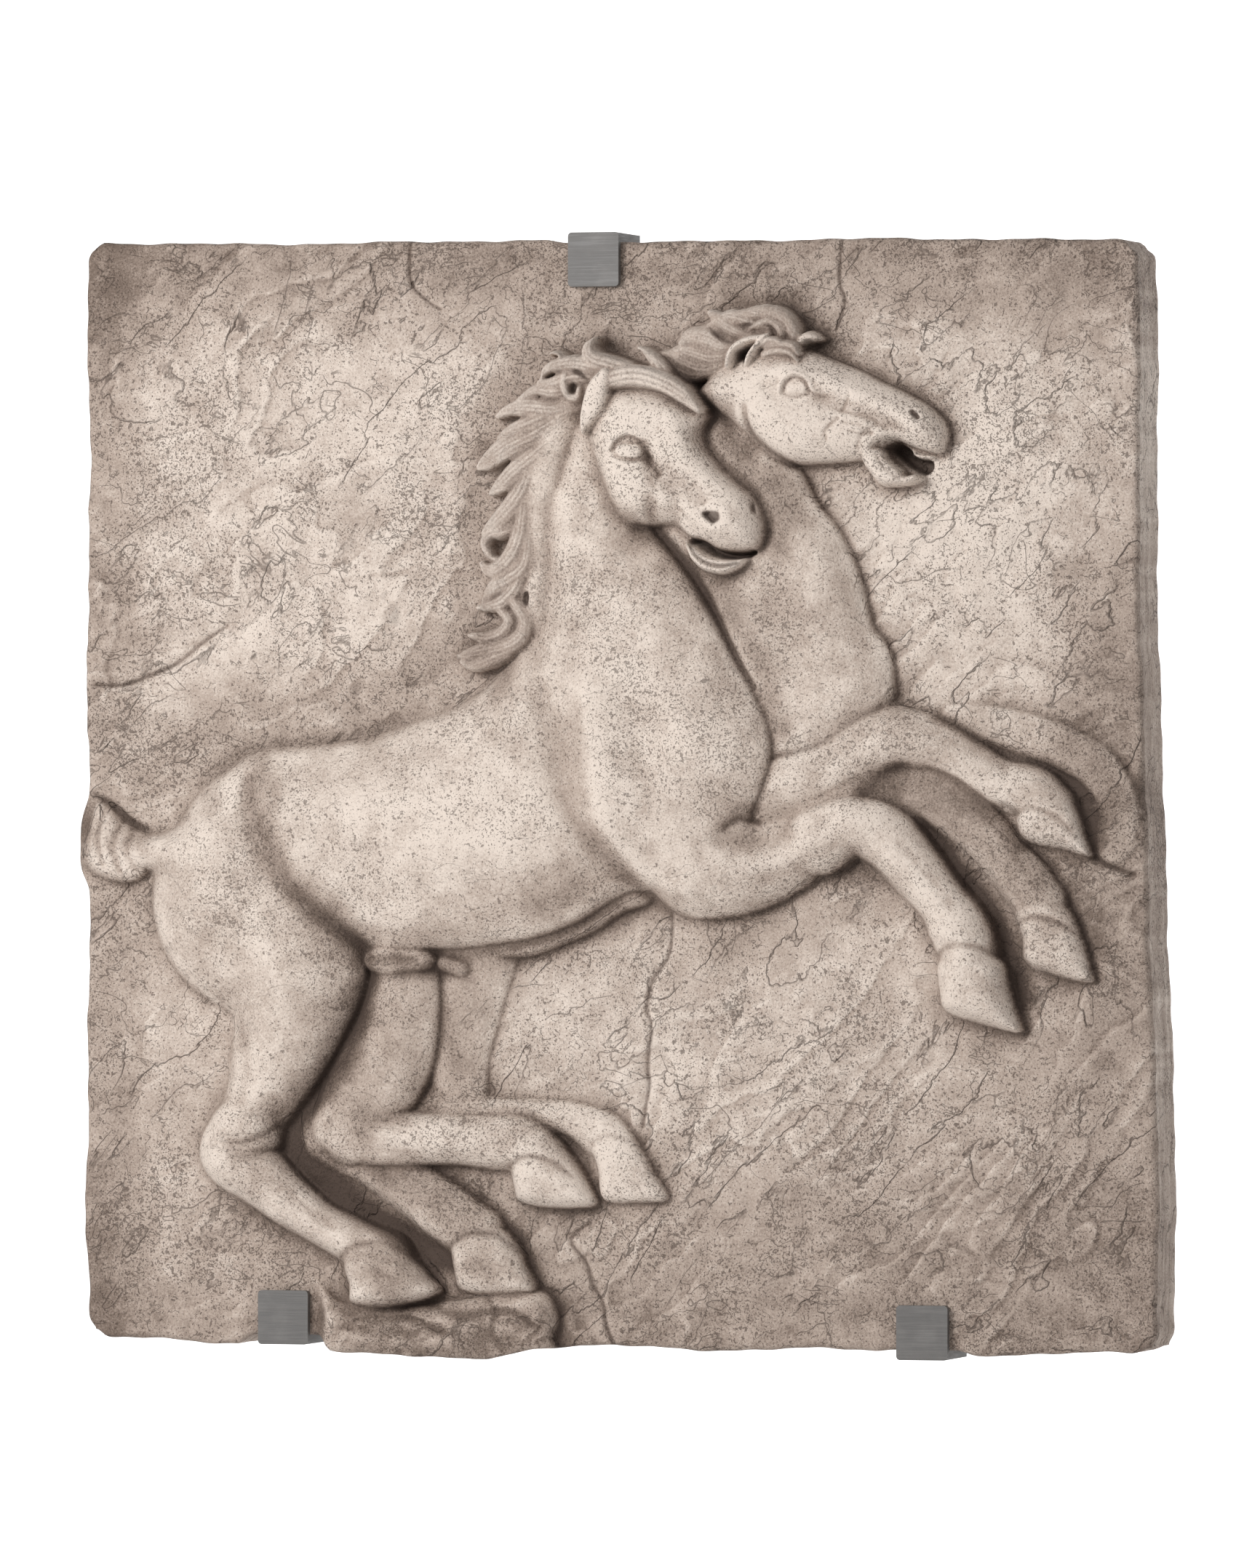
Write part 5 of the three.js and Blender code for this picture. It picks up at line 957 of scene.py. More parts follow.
def wander(x, k):
    # the uneven line of a cast edge
    return (0.9 * np.sin(0.017 * x + 1.7 * k) + 0.6 * np.sin(0.041 * x + 2.9 * k)
            + 0.45 * np.sin(0.093 * x + 0.7 * k) + 0.3 * np.sin(0.19 * x + 1.3 * k))


def edgeLine(u, upper):
    # the upper or lower edge: nearly straight, true where a clip sits, rounded off at the corners
    if upper:
        wave = (sheetHeight + 4 - 6 * (u / sheetWidth) + wander(u, 1)
                - 7 * bump(u, sheetLeft, 7) - 8 * bump(u, sheetRight, 8))
    else:
        wave = (1 - 4 * (u / sheetWidth) + wander(u, 2) + 2 * np.sin(u * 0.028 + 0.6)
                + 8 * bump(u, sheetLeft, 10) + 6 * bump(u, sheetRight, 9))
    for seat in seats:
        if seat["upper"] == upper:
            wave = wave + (seat["edge"] - wave) * onSeat(u, seat)
    return wave


def sideLine(v, right):
    # the left or right edge: nearly straight, the right one slanting out towards the bottom
    if right:
        return (sheetRight - 6.5 + 7 * (1 - v / sheetHeight) + 11 * ease(np.clip((650 - v) / 450, 0, 1))
                + wander(v, 3) - 8 * bump(v, sheetHeight + 4, 8) - 6 * bump(v, 0, 9))
    return (sheetLeft - 0.5 - 4 * bump(v, 110, 50) + wander(v, 4) + 8 * bump(v, sheetHeight + 5, 8)
            + 7 * bump(v, 0, 10))


def fitted(s, t, overhang):
    # a grid place on the sheet: the outline's wander fades out a little way in from the rim,
    # and the tail and the rock hang over it
    u0, v0 = sheetLeft + s * sheetWidth, t * sheetHeight
    nearLeft, nearRight, nearLow, nearHigh = (
        (1 - np.clip(d / fadeBand, 0, 1)) ** 2
        for d in (u0 - sheetLeft, sheetRight - u0, v0, sheetHeight - v0))
    left = sideLine(v0, False) - sheetLeft - overhang * 9 * np.exp(-((v0 - 455) / 34) ** 4)
    right = sideLine(v0, True) - sheetRight
    free = np.prod([1 - onSeat(u0, seat) for seat in seats], axis=0)
    low = edgeLine(u0, False) - overhang * free * 11 * np.exp(-((u0 - 305) / 100) ** 6)
    high = edgeLine(u0, True) - sheetHeight
    return u0 + left * nearLeft + right * nearRight, v0 + low * nearLow + high * nearHigh


def flattenSeats(c):
    # the plates of the clips lie on flat seats
    depth = (clipPlate["face"] + clipPlate["beyond"]) * perMetre
    for seat in seats:
        inward = seat["edge"] - c.v if seat["upper"] else c.v - seat["edge"]
        cover = onSeat(c.u, seat) * (1 - ease(np.clip((inward - depth) / seatFade, 0, 1)))
        c.height *= 1 - cover


def wearOff(c):
    # each height shares a little with its neighbours
    c.height = c.height * 0.5 + softened(c.height, 1) * 0.5
    c.washAndShade = softened(c.washAndShade, 1)


gridShare = np.linspace(0, 1, casting["steps"] + 1)
gridS, gridT = np.meshgrid(gridShare, gridShare)
gridInward = np.minimum(np.minimum(gridS, 1 - gridS) * casting["width"],
                        np.minimum(gridT, 1 - gridT) * casting["height"])
carving = Carving(*fitted(gridS, gridT, 1.0))
carveAll(carving)
flattenSeats(carving)
wearOff(carving)
print("relief carved")


ceilingGap = 0.0003
ceilingSoft = 0.005


def panelFront(c):
    # the sheet in metres: rounded rim, and nothing higher than the casting
    rim = casting["rim"]
    inward = np.clip(gridInward, 0, rim)
    drop = rim - np.sqrt(rim ** 2 - (rim - inward) ** 2)
    rise = c.height / sheetRise * casting["carving"]
    ceiling = -panelLow[1] - casting["slab"] - ceilingGap
    over = np.clip(rise - ceiling + ceilingSoft, 0, None)
    rise = np.where(over > 0, ceiling - ceilingSoft * np.exp(-over / ceilingSoft), rise)
    return np.stack([
        (c.u - sheetMiddle) / perMetre,
        -(casting["slab"] + rise - drop),
        (c.v / sheetHeight - 0.5) * casting["height"],
    ], axis=-1)


def misfitOf(points, care):
    # how badly each grid place is missed by the long side that it halves, with all below it
    n = points.shape[0] - 1
    worst = np.zeros(points.shape[:2])

    def own(rows, cols, dr, dc):
        # gap between a place and the middle of the side, less where the side is steep
        a = points[rows - dr, cols - dc]
        b = points[rows + dr, cols + dc]
        slope = np.abs(a[..., 1] - b[..., 1]) / np.hypot(a[..., 0] - b[..., 0], a[..., 2] - b[..., 2])
        gap = np.linalg.norm(points[rows, cols] - (a + b) / 2, axis=-1)
        return gap / np.hypot(1, slope) * care[rows, cols]

    def below(rows, cols, reach, crosswise):
        # the worst of the four places that the halves are halved at
        found = np.zeros(rows.shape)
        steps = ((reach, 0), (-reach, 0), (0, reach), (0, -reach)) if crosswise else (
            (reach, reach), (reach, -reach), (-reach, reach), (-reach, -reach))
        for dr, dc in steps:
            r, k = rows + dr, cols + dc
            on = (r >= 0) & (r <= n) & (k >= 0) & (k <= n)
            found = np.maximum(found, np.where(on, worst[np.clip(r, 0, n), np.clip(k, 0, n)], 0))
        return found

    step = 1
    while step < n:
        odd = np.arange(step, n, 2 * step)
        even = np.arange(0, n + 1, 2 * step)
        for rows, cols, dr, dc in ((odd, even, step, 0), (even, odd, 0, step)):
            r, k = np.meshgrid(rows, cols, indexing="ij")
            miss = own(r, k, dr, dc)
            if step > 1:
                miss = np.maximum(miss, below(r, k, step // 2, False))
            worst[r, k] = miss
        r, k = np.meshgrid(odd, odd, indexing="ij")
        rising = ((r // (2 * step) + k // (2 * step)) % 2 == 0)
        miss = np.where(rising, own(r, k, step, step), own(r, k, step, -step))
        worst[r, k] = np.maximum(miss, below(r, k, step, True))
        step *= 2
    return worst


def halvedTriangles(worst, tolerance):
    # right-angled triangles halved along their long side until each follows the carving
    n = worst.shape[0] - 1
    # corners as (row, column): both ends of the long side, then the right angle
    todo = np.array([[[0, 0], [n, n], [0, n]], [[n, n], [0, 0], [n, 0]]])
    done = []
    while len(todo):
        a, b, c = todo[:, 0], todo[:, 1], todo[:, 2]
        m = (a + b) // 2
        big = np.abs(a - c).sum(axis=1) > 1
        split = big & (worst[m[:, 0], m[:, 1]] > tolerance)
        done.append(todo[~split])
        a, b, c, m = a[split], b[split], c[split], m[split]
        todo = np.concatenate([np.stack([c, a, m], 1), np.stack([b, c, m], 1)])
    return np.concatenate(done)


faceBoxes = ((455, 650, 690, 900), (590, 810, 760, 920))  # left, right, low and high of the two heads
faceCare = 1.8
rimCare = 0.35
rimBand = 0.006
ringDepths = np.array([0.10, 0.30, 0.62, 1.0, 1.35, 1.9, 2.3]) * casting["overhang"]
ripple = dict(depth=0.0006, size=9, seed=51, fullAt=0.01)
backInset = 0.9985
backBevel = 0.001


def panelMesh(c):
    # the face in triangles, rings down the side, and the flat back
    front = panelFront(c)
    care = np.ones(c.u.shape)
    leaned = c.u - viewLean * np.clip(c.height, 0, None)
    for left, right, low, high in faceBoxes:
        care[(leaned > left) & (leaned < right) & (c.v > low) & (c.v < high)] = faceCare
    care[gridInward < rimBand] = rimCare
    worst = misfitOf(front, care)
    ranked = np.sort(worst, axis=None)[::-1]
    tolerance = ranked[casting["triangles"] // 2]
    corners = halvedTriangles(worst, tolerance)
    key = corners[..., 0] * (casting["steps"] + 1) + corners[..., 1]
    used, index = np.unique(key, return_inverse=True)
    triangles = index.reshape(-1, 3)[:, [0, 2, 1]]
    rows, cols = used // (casting["steps"] + 1), used % (casting["steps"] + 1)
    points = front[rows, cols]
    # the rim in order, anticlockwise from the front
    order = np.concatenate([
        np.flatnonzero((rows == 0) & (cols < casting["steps"])),
        np.flatnonzero((cols == casting["steps"]) & (rows < casting["steps"])),
        np.flatnonzero((rows == casting["steps"]) & (cols > 0))[::-1],
        np.flatnonzero((cols == 0) & (rows > 0))[::-1],
    ])
    rimS, rimT = cols[order] / casting["steps"], rows[order] / casting["steps"]
    around = np.arange(len(order))
    # rings down the side: the overhang tucks back to the plain outline, then straight to the wall
    rings = [points[order]]
    inwardX = np.where(cols[order] == casting["steps"], -1.0, np.where(cols[order] == 0, 1.0, 0.0))
    inwardZ = np.where(rows[order] == casting["steps"], -1.0, np.where(rows[order] == 0, 1.0, 0.0))
    for depth in ringDepths:
        overhang = 1 - ease(np.clip(depth / casting["overhang"], 0, 1))
        u, v = fitted(rimS, rimT, overhang)
        rough = valueNoise(rimS * 1000, rimT * 1000 + depth * 3000, ripple["size"], ripple["seed"])
        inset = np.abs(ripple["depth"] * rough * min(1.0, depth / ripple["fullAt"]))
        x = (u - sheetMiddle) / perMetre
        z = (v / sheetHeight - 0.5) * casting["height"]
        proud = rings[0][:, 1] + casting["slab"]
        y = -casting["slab"] + depth + proud * (1 - min(1.0, depth / casting["overhang"]))
        rings.append(np.stack([x + inwardX * inset, y, z + inwardZ * inset], 1))
    u, v = fitted(rimS, rimT, 0.0)
    x = (u - sheetMiddle) / perMetre
    z = (v / sheetHeight - 0.5) * casting["height"]
    rings.append(np.stack([x, np.full(len(order), -backBevel), z], 1))
    rings.append(np.stack([x * backInset, np.zeros(len(order)), z * backInset], 1))
    allPoints = np.concatenate([points] + rings[1:] + [np.zeros((1, 3))])
    ringIndex = [order] + [len(points) + k * len(order) + around for k in range(len(rings) - 1)]
    sides = []
    for outer, inner in zip(ringIndex[:-1], ringIndex[1:]):
        nextOuter, nextInner = np.roll(outer, -1), np.roll(inner, -1)
        sides += [np.stack([outer, inner, nextOuter], 1), np.stack([nextOuter, inner, nextInner], 1)]
    last = ringIndex[-1]
    sides.append(np.stack([last, np.full(len(last), len(allPoints) - 1), np.roll(last, -1)], 1))
    allPoints = np.clip(allPoints, panelLow, panelHigh)
    spread = np.full(len(allPoints), -1)
    spread[:len(points)] = used
    spread[len(points):-1] = np.tile(used[order], len(rings) - 1)
    behind = np.zeros(len(allPoints))
    behind[len(points):] = 1.0
    return allPoints, np.concatenate([triangles] + sides), spread, behind, tolerance


groundPatches = (  # paler or browner patches: share of the tone, middle and reach in u, then in v
    (0.05, 300, 330, 620, 300),
    (0.14, 790, 150, 740, 170),
    (-0.05, 0, 200, 1000, 130),
    (-0.16, 940, 90, 940, 60),
    (-0.14, 965, 55, 640, 170),
    (-0.09, 850, 170, 150, 150),
    # painted light: this patch lifts the cast shadow on the ground right of the far muzzle
    (0.14, 826, 40, 800, 60),
    (0.05, 890, 90, 760, 90),
)
groundClouds = ((0.045, 90, 61), (0.035, 37, 62))  # share of the tone, size, seed
horsePatches = (
    (0.15, 330, 170, 470, 90),
    (0.14, 560, 190, 830, 80),
    (0.12, 560, 70, 500, 90),
    (0.12, 655, 25, 730, 40),
    (0.08, 505, 60, 650, 80),
    (-0.07, 200, 160, 130, 130),
)
horseClouds = ((0.05, 60, 63), (0.05, 21, 64), (0.045, 9, 65))
cavityShadeAndHighlight = (  # painted shade in hollows and painted highlight on what stands out: cells averaged, depth that gives the share, share of the tone, most depths counted
    (2, 0.8, 0.11, 1.2),
    (6, 2.6, 0.15, 1.0),
    (14, 7.0, 0.13, 1.4),
    (30, 13.0, 0.12, 1.6),
)


def groundShare(c):
    # 1 on the ground and the rock, 0 on the horses
    low = 1 - ease(np.clip((softened(c.height, 6) - 5) / 10, 0, 1))
    across = np.clip((c.u - 205) / 10, 0, 1) * np.clip((446 - c.u) / 8, 0, 1)
    rock = np.clip((44 - c.v) / 8, 0, 1) * across
    return np.maximum(low, rock)


def unevenTone(u, v, base, patches, clouds):
    # a base tone with bell-shaped patches and soft noise added
    tone = base
    for share, middleU, reachU, middleV, reachV in patches:
        tone = tone + share * bump(u, middleU, reachU) * bump(v, middleV, reachV)
    for share, size, seed in clouds:
        tone = tone + share * valueNoise(u, v, size, seed)
    return tone


def stoneTone(c):
    # how pale the finish is, before the pits and the brush: 0 dark brown, 1 pale; it holds painted shade
    # and painted highlight as well as the stone's own colour
    u, v, h = c.u, c.v, c.height
    # the ground is browner towards all four edges
    ground = unevenTone(u, v, 0.85, groundPatches, groundClouds)
    ground = ground - 0.26 * ease(np.clip((v - 880) / 110, 0, 1))
    ground = ground - 0.26 * ease(np.clip((230 - v) / 230, 0, 1))
    ground = ground - 0.20 * ease(np.clip((70 - u) / 60, 0, 1))
    ground = ground - 0.22 * ease(np.clip((u - 860) / 90, 0, 1)) * bump(v, 420, 330)
    horse = unevenTone(u, v, 0.82, horsePatches, horseClouds)
    horse = horse - 0.25 * softened(c.hair, 2) * (c.height > 14)
    tone = horse + (ground - horse) * groundShare(c)
    # painted shade in hollows of every size, most on the side away from the light, with the brown wash
    # there, and painted highlight on what stands out
    dv, du = np.gradient(softened(h, 14))
    steep = np.hypot(du, dv)
    shaded = 0.5 + 0.5 * (0.2 * dv - 0.95 * du) / (steep + 0.02)
    shadeWeight = 0.25 + 0.6 * ease(np.clip(shaded, 0, 1))
    for reach, size, share, most in cavityShadeAndHighlight:
        stand = np.clip((h - softened(h, reach)) / size, -most, 0.6)
        tone = tone + share * np.where(stand < 0, stand * shadeWeight, stand)
    # painted shade: forms turn browner where they face down and to the right, away from the light
    turnedShade = ease(np.clip(steep * 1.1, 0, 1))
    tone = tone - turnedShade * (0.06 + 0.10 * ease(np.clip(shaded * 1.5 - 0.5, 0, 1)))
    # less the brush's brown and the painted shade laid along stations
    return tone - softened(c.brownAndShade, 1)


def addPanel():
    # the mesh as one object, with what the finish reads kept at each point
    points, triangles, spread, behind, tolerance = panelMesh(carving)
    mesh = bpy.data.meshes.new("carved_relief")
    mesh.vertices.add(len(points))
    mesh.vertices.foreach_set("co", points.astype(np.float32).ravel())
    mesh.loops.add(triangles.size)
    mesh.loops.foreach_set("vertex_index", triangles.astype(np.int32).ravel())
    mesh.polygons.add(len(triangles))
    mesh.polygons.foreach_set("loop_start", np.arange(0, triangles.size, 3, dtype=np.int32))
    mesh.update(calc_edges=True)
    mesh.shade_smooth()
    # tone and wash carry the painted shade and painted highlight to the finish
    shade = np.concatenate([stoneTone(carving).ravel(), [0.5]])
    washAndShade = np.concatenate([carving.washAndShade.ravel(), [0.0]])
    hair = np.concatenate([softened(carving.hair, 1).ravel(), [0.0]])
    ground = np.concatenate([groundShare(carving).ravel(), [0.0]])
    for name, values in (("tone", shade[spread]), ("washAndShade", washAndShade[spread]), ("hair", hair[spread]),
                         ("ground", ground[spread]), ("side", behind)):
        layer = mesh.attributes.new(name, "FLOAT", "POINT")
        layer.data.foreach_set("value", values.astype(np.float32))
    piece = bpy.data.objects.new("carved_relief", mesh)
    bpy.context.scene.collection.objects.link(piece)
    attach(piece, "root")
    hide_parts("relief_panel")
    missed = round(tolerance * 1000, 3)
    print("panel mesh:", len(triangles), "triangles, follows the carving to", missed, "mm")
    return piece


panel = addPanel()


# Shader parts
def newGroup(name, inputs, outputs):
    # an empty node group with its sockets: name and kind
    group = bpy.data.node_groups.new(name, "ShaderNodeTree")
    for label, kind in inputs:
        group.interface.new_socket(label, in_out="INPUT", socket_type=kind)
    for label, kind in outputs:
        group.interface.new_socket(label, in_out="OUTPUT", socket_type=kind)
    return group


def addNode(tree, kind, settings=None, values=None):
    # a node with its settings, and numbers put in its sockets
    node = tree.nodes.new(kind)
    for key, value in (settings or {}).items():
        setattr(node, key, value)
    for key, value in (values or {}).items():
        node.inputs[key].default_value = value
    return node


def scaled(tree, value, low, high, start=0.0, end=1.0, smooth=True):
    # a value carried from one range to another and held there
    node = addNode(tree, "ShaderNodeMapRange",
                   dict(clamp=True, interpolation_type="SMOOTHSTEP" if smooth else "LINEAR"),
                   {"From Min": low, "From Max": high, "To Min": start, "To Max": end})
    tree.links.new(value, node.inputs["Value"])
    return node.outputs["Result"]


def combined(tree, kind, a, b):
    # two values joined by a sum, a product or the larger of them
    node = addNode(tree, "ShaderNodeMath", dict(operation=kind))
    for socket, value in zip(node.inputs, (a, b)):
        if isinstance(value, (int, float)):
            socket.default_value = value
        else:
            tree.links.new(value, socket)
    return node.outputs["Value"]


def noiseOf(tree, place, scale, detail=3.0, roughness=0.55, distortion=0.0):
    # soft noise about 0.5
    node = addNode(tree, "ShaderNodeTexNoise", None,
                   {"Scale": scale, "Detail": detail, "Roughness": roughness, "Distortion": distortion})
    tree.links.new(place, node.inputs["Vector"])
    return node.outputs["Fac"]


def stretchedBy(tree, place, scale):
    # a place scaled along each axis, so that a pattern there is drawn out
    node = addNode(tree, "ShaderNodeMapping", dict(vector_type="POINT"), {"Scale": scale})
    tree.links.new(place, node.inputs["Vector"])
    return node.outputs["Vector"]


pitSizes = (  # scale of the noise, limit where pits are rare, limit where they are common, soft edge
    (760.0, 0.655, 0.575, 0.04),
    (340.0, 0.675, 0.60, 0.03),
)
crackSizes = (  # scale of the noise, limit of the patches, width, stretch
    (16.0, 0.50, 0.006, (1.0, 1.0, 1.5)),
    (55.0, 0.55, 0.012, (1.2, 1.0, 1.4)),
)


def pitGroup():
    # pin holes of the casting: specks where a fine noise is high, thick in some patches, rare in others
    group = newGroup("castingPits", [("Place", "NodeSocketVector")], [("Pits", "NodeSocketFloat")])
    begin = group.nodes.new("NodeGroupInput")
    end = group.nodes.new("NodeGroupOutput")
    place = begin.outputs["Place"]
    patch = scaled(group, noiseOf(group, place, 13.0, 3.0, 0.6), 0.34, 0.70)
    total = 0.0
    for scale, rare, common, soft in pitSizes:
        speck = noiseOf(group, place, scale, 2.0, 0.5)
        limit = scaled(group, patch, 0.0, 1.0, rare, common, False)
        above = combined(group, "SUBTRACT", speck, limit)
        total = combined(group, "MAXIMUM", total, scaled(group, above, 0.0, soft))
    group.links.new(total, end.inputs["Pits"])
    return group


def crackGroup():
    # hair cracks and scratches: where a bent noise crosses its middle, broken up into short pieces
    group = newGroup("castingCracks", [("Place", "NodeSocketVector")], [("Cracks", "NodeSocketFloat")])
    begin = group.nodes.new("NodeGroupInput")
    end = group.nodes.new("NodeGroupOutput")
    place = begin.outputs["Place"]
    total = 0.0
    for scale, limit, width, stretch in crackSizes:
        line = noiseOf(group, stretchedBy(group, place, stretch), scale, 3.0, 0.55, 0.5)
        line = combined(group, "ABSOLUTE", combined(group, "SUBTRACT", line, 0.5), 0.0)
        line = scaled(group, line, 0.0, width, 1.0, 0.0)
        where = scaled(group, noiseOf(group, place, scale * 1.3, 2.0), limit, limit + 0.05)
        total = combined(group, "MAXIMUM", total, combined(group, "MULTIPLY", line, where))
    group.links.new(total, end.inputs["Cracks"])
    return group


def flakeGroup():
    # flaked clay: a drawn-out noise climbs slowly and drops at once, so its steps leave wandering ledges
    group = newGroup("clayFlakes", [("Place", "NodeSocketVector")],
                     [("Rise", "NodeSocketFloat"), ("FootShade", "NodeSocketFloat")])
    begin = group.nodes.new("NodeGroupInput")
    end = group.nodes.new("NodeGroupOutput")
    turned = addNode(group, "ShaderNodeMapping", None, {"Rotation": (0, 0.85, 0)})
    group.links.new(begin.outputs["Place"], turned.inputs["Vector"])
    drawnOut = stretchedBy(group, turned.outputs["Vector"], (0.5, 1.0, 1.0))
    swell = noiseOf(group, drawnOut, 11.0, 6.0, 0.5, 0.3)
    step = combined(group, "FRACT", combined(group, "MULTIPLY", swell, 9.0), 0.0)
    patch = scaled(group, noiseOf(group, begin.outputs["Place"], 17.0, 2.0), 0.38, 0.54)
    climb = scaled(group, step, 0.0, 0.92, 0.0, 1.0, False)
    drop = scaled(group, step, 0.92, 1.0, 1.0, 0.0, False)
    rise = combined(group, "MULTIPLY", combined(group, "MINIMUM", climb, drop), patch)
    # the foot of each drop, where the finish lays painted shade
    footShade = combined(group, "MULTIPLY", scaled(group, step, 0.93, 0.985), patch)
    group.links.new(rise, end.inputs["Rise"])
    group.links.new(footShade, end.inputs["FootShade"])
    return group


stoneLook = dict(
    dark=(0.075, 0.052, 0.041),
    deep=(0.19, 0.142, 0.114),
    middle=(0.42, 0.337, 0.284),
    pale=(0.70, 0.605, 0.53),
    roughness=0.82,
)


def mixedColour(tree, share, a, b):
    # from colour a to colour b by a share
    node = addNode(tree, "ShaderNodeMix", dict(data_type="RGBA", blend_type="MIX"))
    for socket, value in ((node.inputs[0], share), (node.inputs[6], a), (node.inputs[7], b)):
        if isinstance(value, tuple):
            socket.default_value = (*value, 1.0)
        elif isinstance(value, (int, float)):
            socket.default_value = value
        else:
            tree.links.new(value, socket)
    return node.outputs[2]


def stoneMaterial(look):
    # four browns by tone, then the wash, pits, cracks and flakes, with a bump of the same marks; the tone
    # and the wash hold painted shade and painted highlight, and the dark of the pits, cracks and flake
    # feet is painted shade
    material = bpy.data.materials.new("washed_and_shaded_cast_stone")
    material.use_nodes = True
    tree = material.node_tree
    shader = tree.nodes["Principled BSDF"]
    place = addNode(tree, "ShaderNodeTexCoord").outputs["Object"]
    attribute = {}
    for name in ("tone", "washAndShade", "hair", "ground", "side"):
        attribute[name] = addNode(tree, "ShaderNodeAttribute", dict(attribute_name=name)).outputs["Fac"]
    parts = {}
    for name, made in (("pits", pitGroup()), ("cracks", crackGroup()), ("flakes", flakeGroup())):
        parts[name] = addNode(tree, "ShaderNodeGroup", dict(node_tree=made))
        tree.links.new(place, parts[name].inputs["Place"])
    bare = combined(tree, "SUBTRACT", 1.0, combined(tree, "MULTIPLY", attribute["hair"], 0.8))
    blotch = noiseOf(tree, place, 9.0, 5.0, 0.6)
    mottle = noiseOf(tree, place, 45.0, 6.0, 0.6)
    grain = noiseOf(tree, place, 600.0, 2.0, 0.6)
    streak = noiseOf(tree, stretchedBy(tree, place, (90.0, 90.0, 6.0)), 1.0, 3.0)
    tone = attribute["tone"]
    for noise, reach in ((blotch, 0.06), (mottle, 0.11), (grain, 0.12)):
        tone = combined(tree, "ADD", tone, scaled(tree, noise, 0.3, 0.7, -reach, reach, False))
    # the sides are streaked and a little paler
    streaked = scaled(tree, streak, 0.3, 0.7, -0.14, 0.10, False)
    tone = combined(tree, "ADD", tone, combined(tree, "MULTIPLY", streaked, attribute["side"]))
    tone = combined(tree, "ADD", tone, combined(tree, "MULTIPLY", attribute["side"], 0.14))
    low = mixedColour(tree, scaled(tree, tone, 0.0, 0.45), look["dark"], look["deep"])
    high = mixedColour(tree, scaled(tree, tone, 0.35, 0.75), low, look["middle"])
    colour = mixedColour(tree, scaled(tree, tone, 0.66, 1.10), high, look["pale"])
    # painted shade along the contours and in the grooves, with the brown wash
    raggedWashAndShade = combined(tree, "ADD", attribute["washAndShade"], scaled(tree, mottle, 0.3, 0.7, -0.14, 0.14, False))
    colour = mixedColour(tree, scaled(tree, raggedWashAndShade, 0.10, 1.0, 0.0, 0.85), colour, look["dark"])
    # the horses are smoother than the ground
    rough = scaled(tree, attribute["ground"], 0.0, 1.0, 0.9, 1.0, False)
    pitted = combined(tree, "MULTIPLY", parts["pits"].outputs["Pits"], bare)
    pitted = combined(tree, "MULTIPLY", pitted, rough)
    broken = scaled(tree, attribute["ground"], 0.0, 1.0, 0.36, 1.0, False)
    cracked = combined(tree, "MULTIPLY", parts["cracks"].outputs["Cracks"], broken)
    flaked = combined(tree, "MULTIPLY", parts["flakes"].outputs["FootShade"], attribute["ground"])
    # painted shade in the pits, the cracks and the feet of the flakes
    marks = combined(tree, "MAXIMUM", pitted, combined(tree, "MULTIPLY", cracked, 0.8))
    marks = combined(tree, "MAXIMUM", marks, combined(tree, "MULTIPLY", flaked, 0.9))
    colour = mixedColour(tree, combined(tree, "MULTIPLY", marks, 0.66), colour, look["dark"])
    tree.links.new(colour, shader.inputs["Base Color"])
    shader.inputs["Roughness"].default_value = look["roughness"]
    shader.inputs["Specular IOR Level"].default_value = 0.25
    relief = combined(tree, "MULTIPLY", combined(tree, "MAXIMUM", pitted, cracked), -1.0)
    lifted = combined(tree, "MULTIPLY", parts["flakes"].outputs["Rise"], attribute["ground"])
    relief = combined(tree, "ADD", relief, combined(tree, "MULTIPLY", lifted, 2.4))
    for noise, reach in ((mottle, 0.6), (grain, 0.22)):
        relief = combined(tree, "ADD", relief, scaled(tree, noise, 0.2, 0.8, -reach, reach, False))
    ribs = combined(tree, "MULTIPLY", attribute["side"], scaled(tree, streak, 0.2, 0.8, -0.6, 0.6, False))
    relief = combined(tree, "ADD", relief, ribs)
    bumped = addNode(tree, "ShaderNodeBump", None, {"Strength": 0.8, "Distance": 0.0011})
    tree.links.new(relief, bumped.inputs["Height"])
    tree.links.new(bumped.outputs["Normal"], shader.inputs["Normal"])
    return material


panel.data.materials.append(stoneMaterial(stoneLook))

clipLook = dict(paint=(0.105, 0.100, 0.096), worn=(0.180, 0.170, 0.162), roughness=0.5)


def clipMaterial(look):
    # matt grey paint with faint brush strokes across
    material = bpy.data.materials.new("brushed_grey_paint")
    material.use_nodes = True
    tree = material.node_tree
    shader = tree.nodes["Principled BSDF"]
    place = addNode(tree, "ShaderNodeTexCoord").outputs["Object"]
    brush = noiseOf(tree, stretchedBy(tree, place, (25.0, 60.0, 700.0)), 1.0, 3.0)
    cloud = noiseOf(tree, place, 60.0, 4.0)
    share = combined(tree, "ADD", scaled(tree, brush, 0.35, 0.75, 0.0, 0.5),
                     scaled(tree, cloud, 0.4, 0.8, 0.0, 0.4))
    tree.links.new(mixedColour(tree, share, look["paint"], look["worn"]), shader.inputs["Base Color"])
    rough = scaled(tree, brush, 0.3, 0.7, look["roughness"] - 0.06, look["roughness"] + 0.12)
    tree.links.new(rough, shader.inputs["Roughness"])
    shader.inputs["Metallic"].default_value = 0.2
    bumped = addNode(tree, "ShaderNodeBump", None, {"Strength": 0.35, "Distance": 0.0004})
    tree.links.new(brush, bumped.inputs["Height"])
    tree.links.new(bumped.outputs["Normal"], shader.inputs["Normal"])
    return material


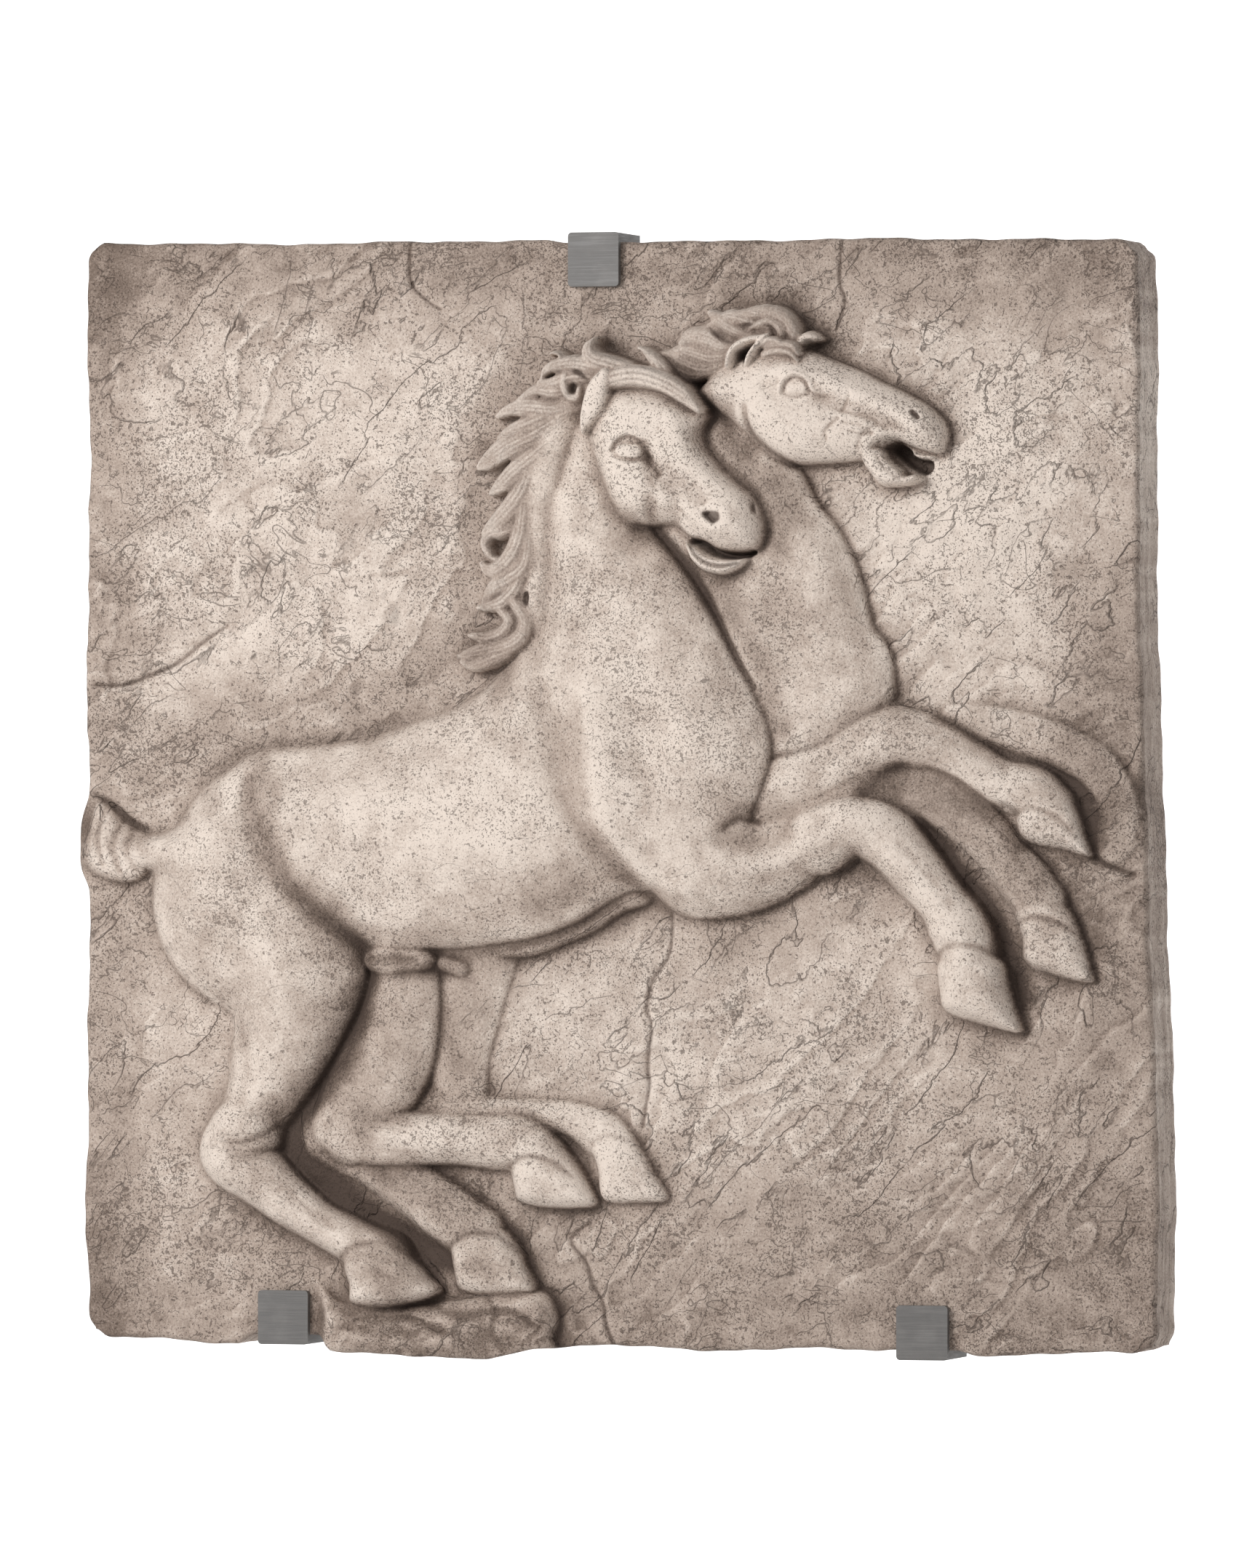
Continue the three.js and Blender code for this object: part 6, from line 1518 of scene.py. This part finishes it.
clipPaint = clipMaterial(clipLook)
for name in ("top_clip", "lower_left_clip", "lower_right_clip"):
    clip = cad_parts[name]
    for slot in clip.material_slots:
        slot.material = clipPaint
print("materials set")

# Camera: the photograph is taken 16 degrees from the right, level with the plaque
photo = dict(
    azimuth=16.0,
    distance=9.5,
    pixelsHigh=2156,
    metresPerPixel=0.000553,
    aimRight=0.0011,
    aimUp=0.0077,
    sheetCentre=0.0092,
    sensor=36.0,
)
scene = bpy.context.scene


def addCamera(look):
    # looks level at the aim from the azimuth, with the lens that gives the photograph's scale
    turn = math.radians(look["azimuth"])
    right = np.array([math.cos(turn), math.sin(turn), 0.0])
    back = np.array([math.sin(turn), -math.cos(turn), 0.0])
    aim = np.array([look["sheetCentre"], -casting["slab"], look["aimUp"]]) + right * look["aimRight"]
    camera = bpy.data.cameras.new("photo_camera")
    camera.sensor_fit = "VERTICAL"
    camera.sensor_height = look["sensor"]
    camera.lens = look["sensor"] * look["distance"] / (look["metresPerPixel"] * look["pixelsHigh"])
    holder = bpy.data.objects.new("photo_camera", camera)
    holder.location = aim + back * look["distance"]
    holder.rotation_euler = (math.radians(90), 0, turn)
    scene.collection.objects.link(holder)
    scene.camera = holder


addCamera(photo)


# Floor, backdrop and light
def plainMaterial(name, colour, glow):
    # one matt colour that may glow a little
    material = bpy.data.materials.new(name)
    material.use_nodes = True
    shader = material.node_tree.nodes["Principled BSDF"]
    shader.inputs["Base Color"].default_value = (*colour, 1)
    shader.inputs["Roughness"].default_value = 0.9
    shader.inputs["Emission Color"].default_value = (*colour, 1)
    shader.inputs["Emission Strength"].default_value = glow
    return material


def addSheet(name, points, faces, glow):
    # a plain sheet of the stage
    mesh = bpy.data.meshes.new(name)
    mesh.from_pydata(points, [], faces)
    mesh.shade_smooth()
    mesh.materials.append(plainMaterial(name, (0.9, 0.9, 0.9), glow))
    sheet = bpy.data.objects.new(name, mesh)
    scene.collection.objects.link(sheet)


def addStage():
    # a pale floor, and a lit backdrop well behind the plaque
    floorZ, nearY, wallY, half, bend, topZ = -1.3, -3.0, 2.4, 7.0, 1.0, 5.0
    plan = ((-half, nearY), (half, nearY), (half, wallY), (-half, wallY))
    corners = [(x, y, floorZ) for x, y in plan]
    addSheet("pale_floor", corners, [(0, 1, 2, 3)], 0.0)
    angle = np.linspace(0, math.pi / 2, 13)
    ys = wallY + bend * np.sin(angle)
    zs = floorZ + bend * (1 - np.cos(angle))
    rows = np.concatenate([np.stack([ys, zs], 1), [[wallY + bend, topZ]]]).tolist()
    points = [(x, y, z) for x in (-half, half) for y, z in rows]
    n = len(rows)
    addSheet("pale_backdrop", points, [(k, n + k, n + k + 1, k + 1) for k in range(n - 1)], 0.75)


def addLight(name, place, aim, size, power):
    # a square softbox that faces its aim
    light = bpy.data.lights.new(name, "AREA")
    light.shape = "RECTANGLE"
    light.size, light.size_y = size
    light.energy = power
    holder = bpy.data.objects.new(name, light)
    holder.location = place
    away = np.array(place) - np.array(aim)
    flatLength = math.hypot(away[0], away[1])
    holder.rotation_euler = (math.atan2(flatLength, away[2]), 0, math.atan2(away[0], -away[1]))
    scene.collection.objects.link(holder)


addStage()
addLight("key", place=(-1.45, -3.2, 1.05), aim=(0, -0.06, 0.05), size=(1.4, 1.4), power=98)
addLight("fill", place=(1.6, -3.0, 0.6), aim=(0, -0.06, 0), size=(2.0, 2.0), power=8)
roomLight = 0.40
world = bpy.data.worlds.new("soft_room")
world.use_nodes = True
world.node_tree.nodes["Background"].inputs["Color"].default_value = (1, 1, 1, 1)
world.node_tree.nodes["Background"].inputs["Strength"].default_value = roomLight
scene.world = world
scene.view_settings.view_transform = "Standard"
print("stage lit")
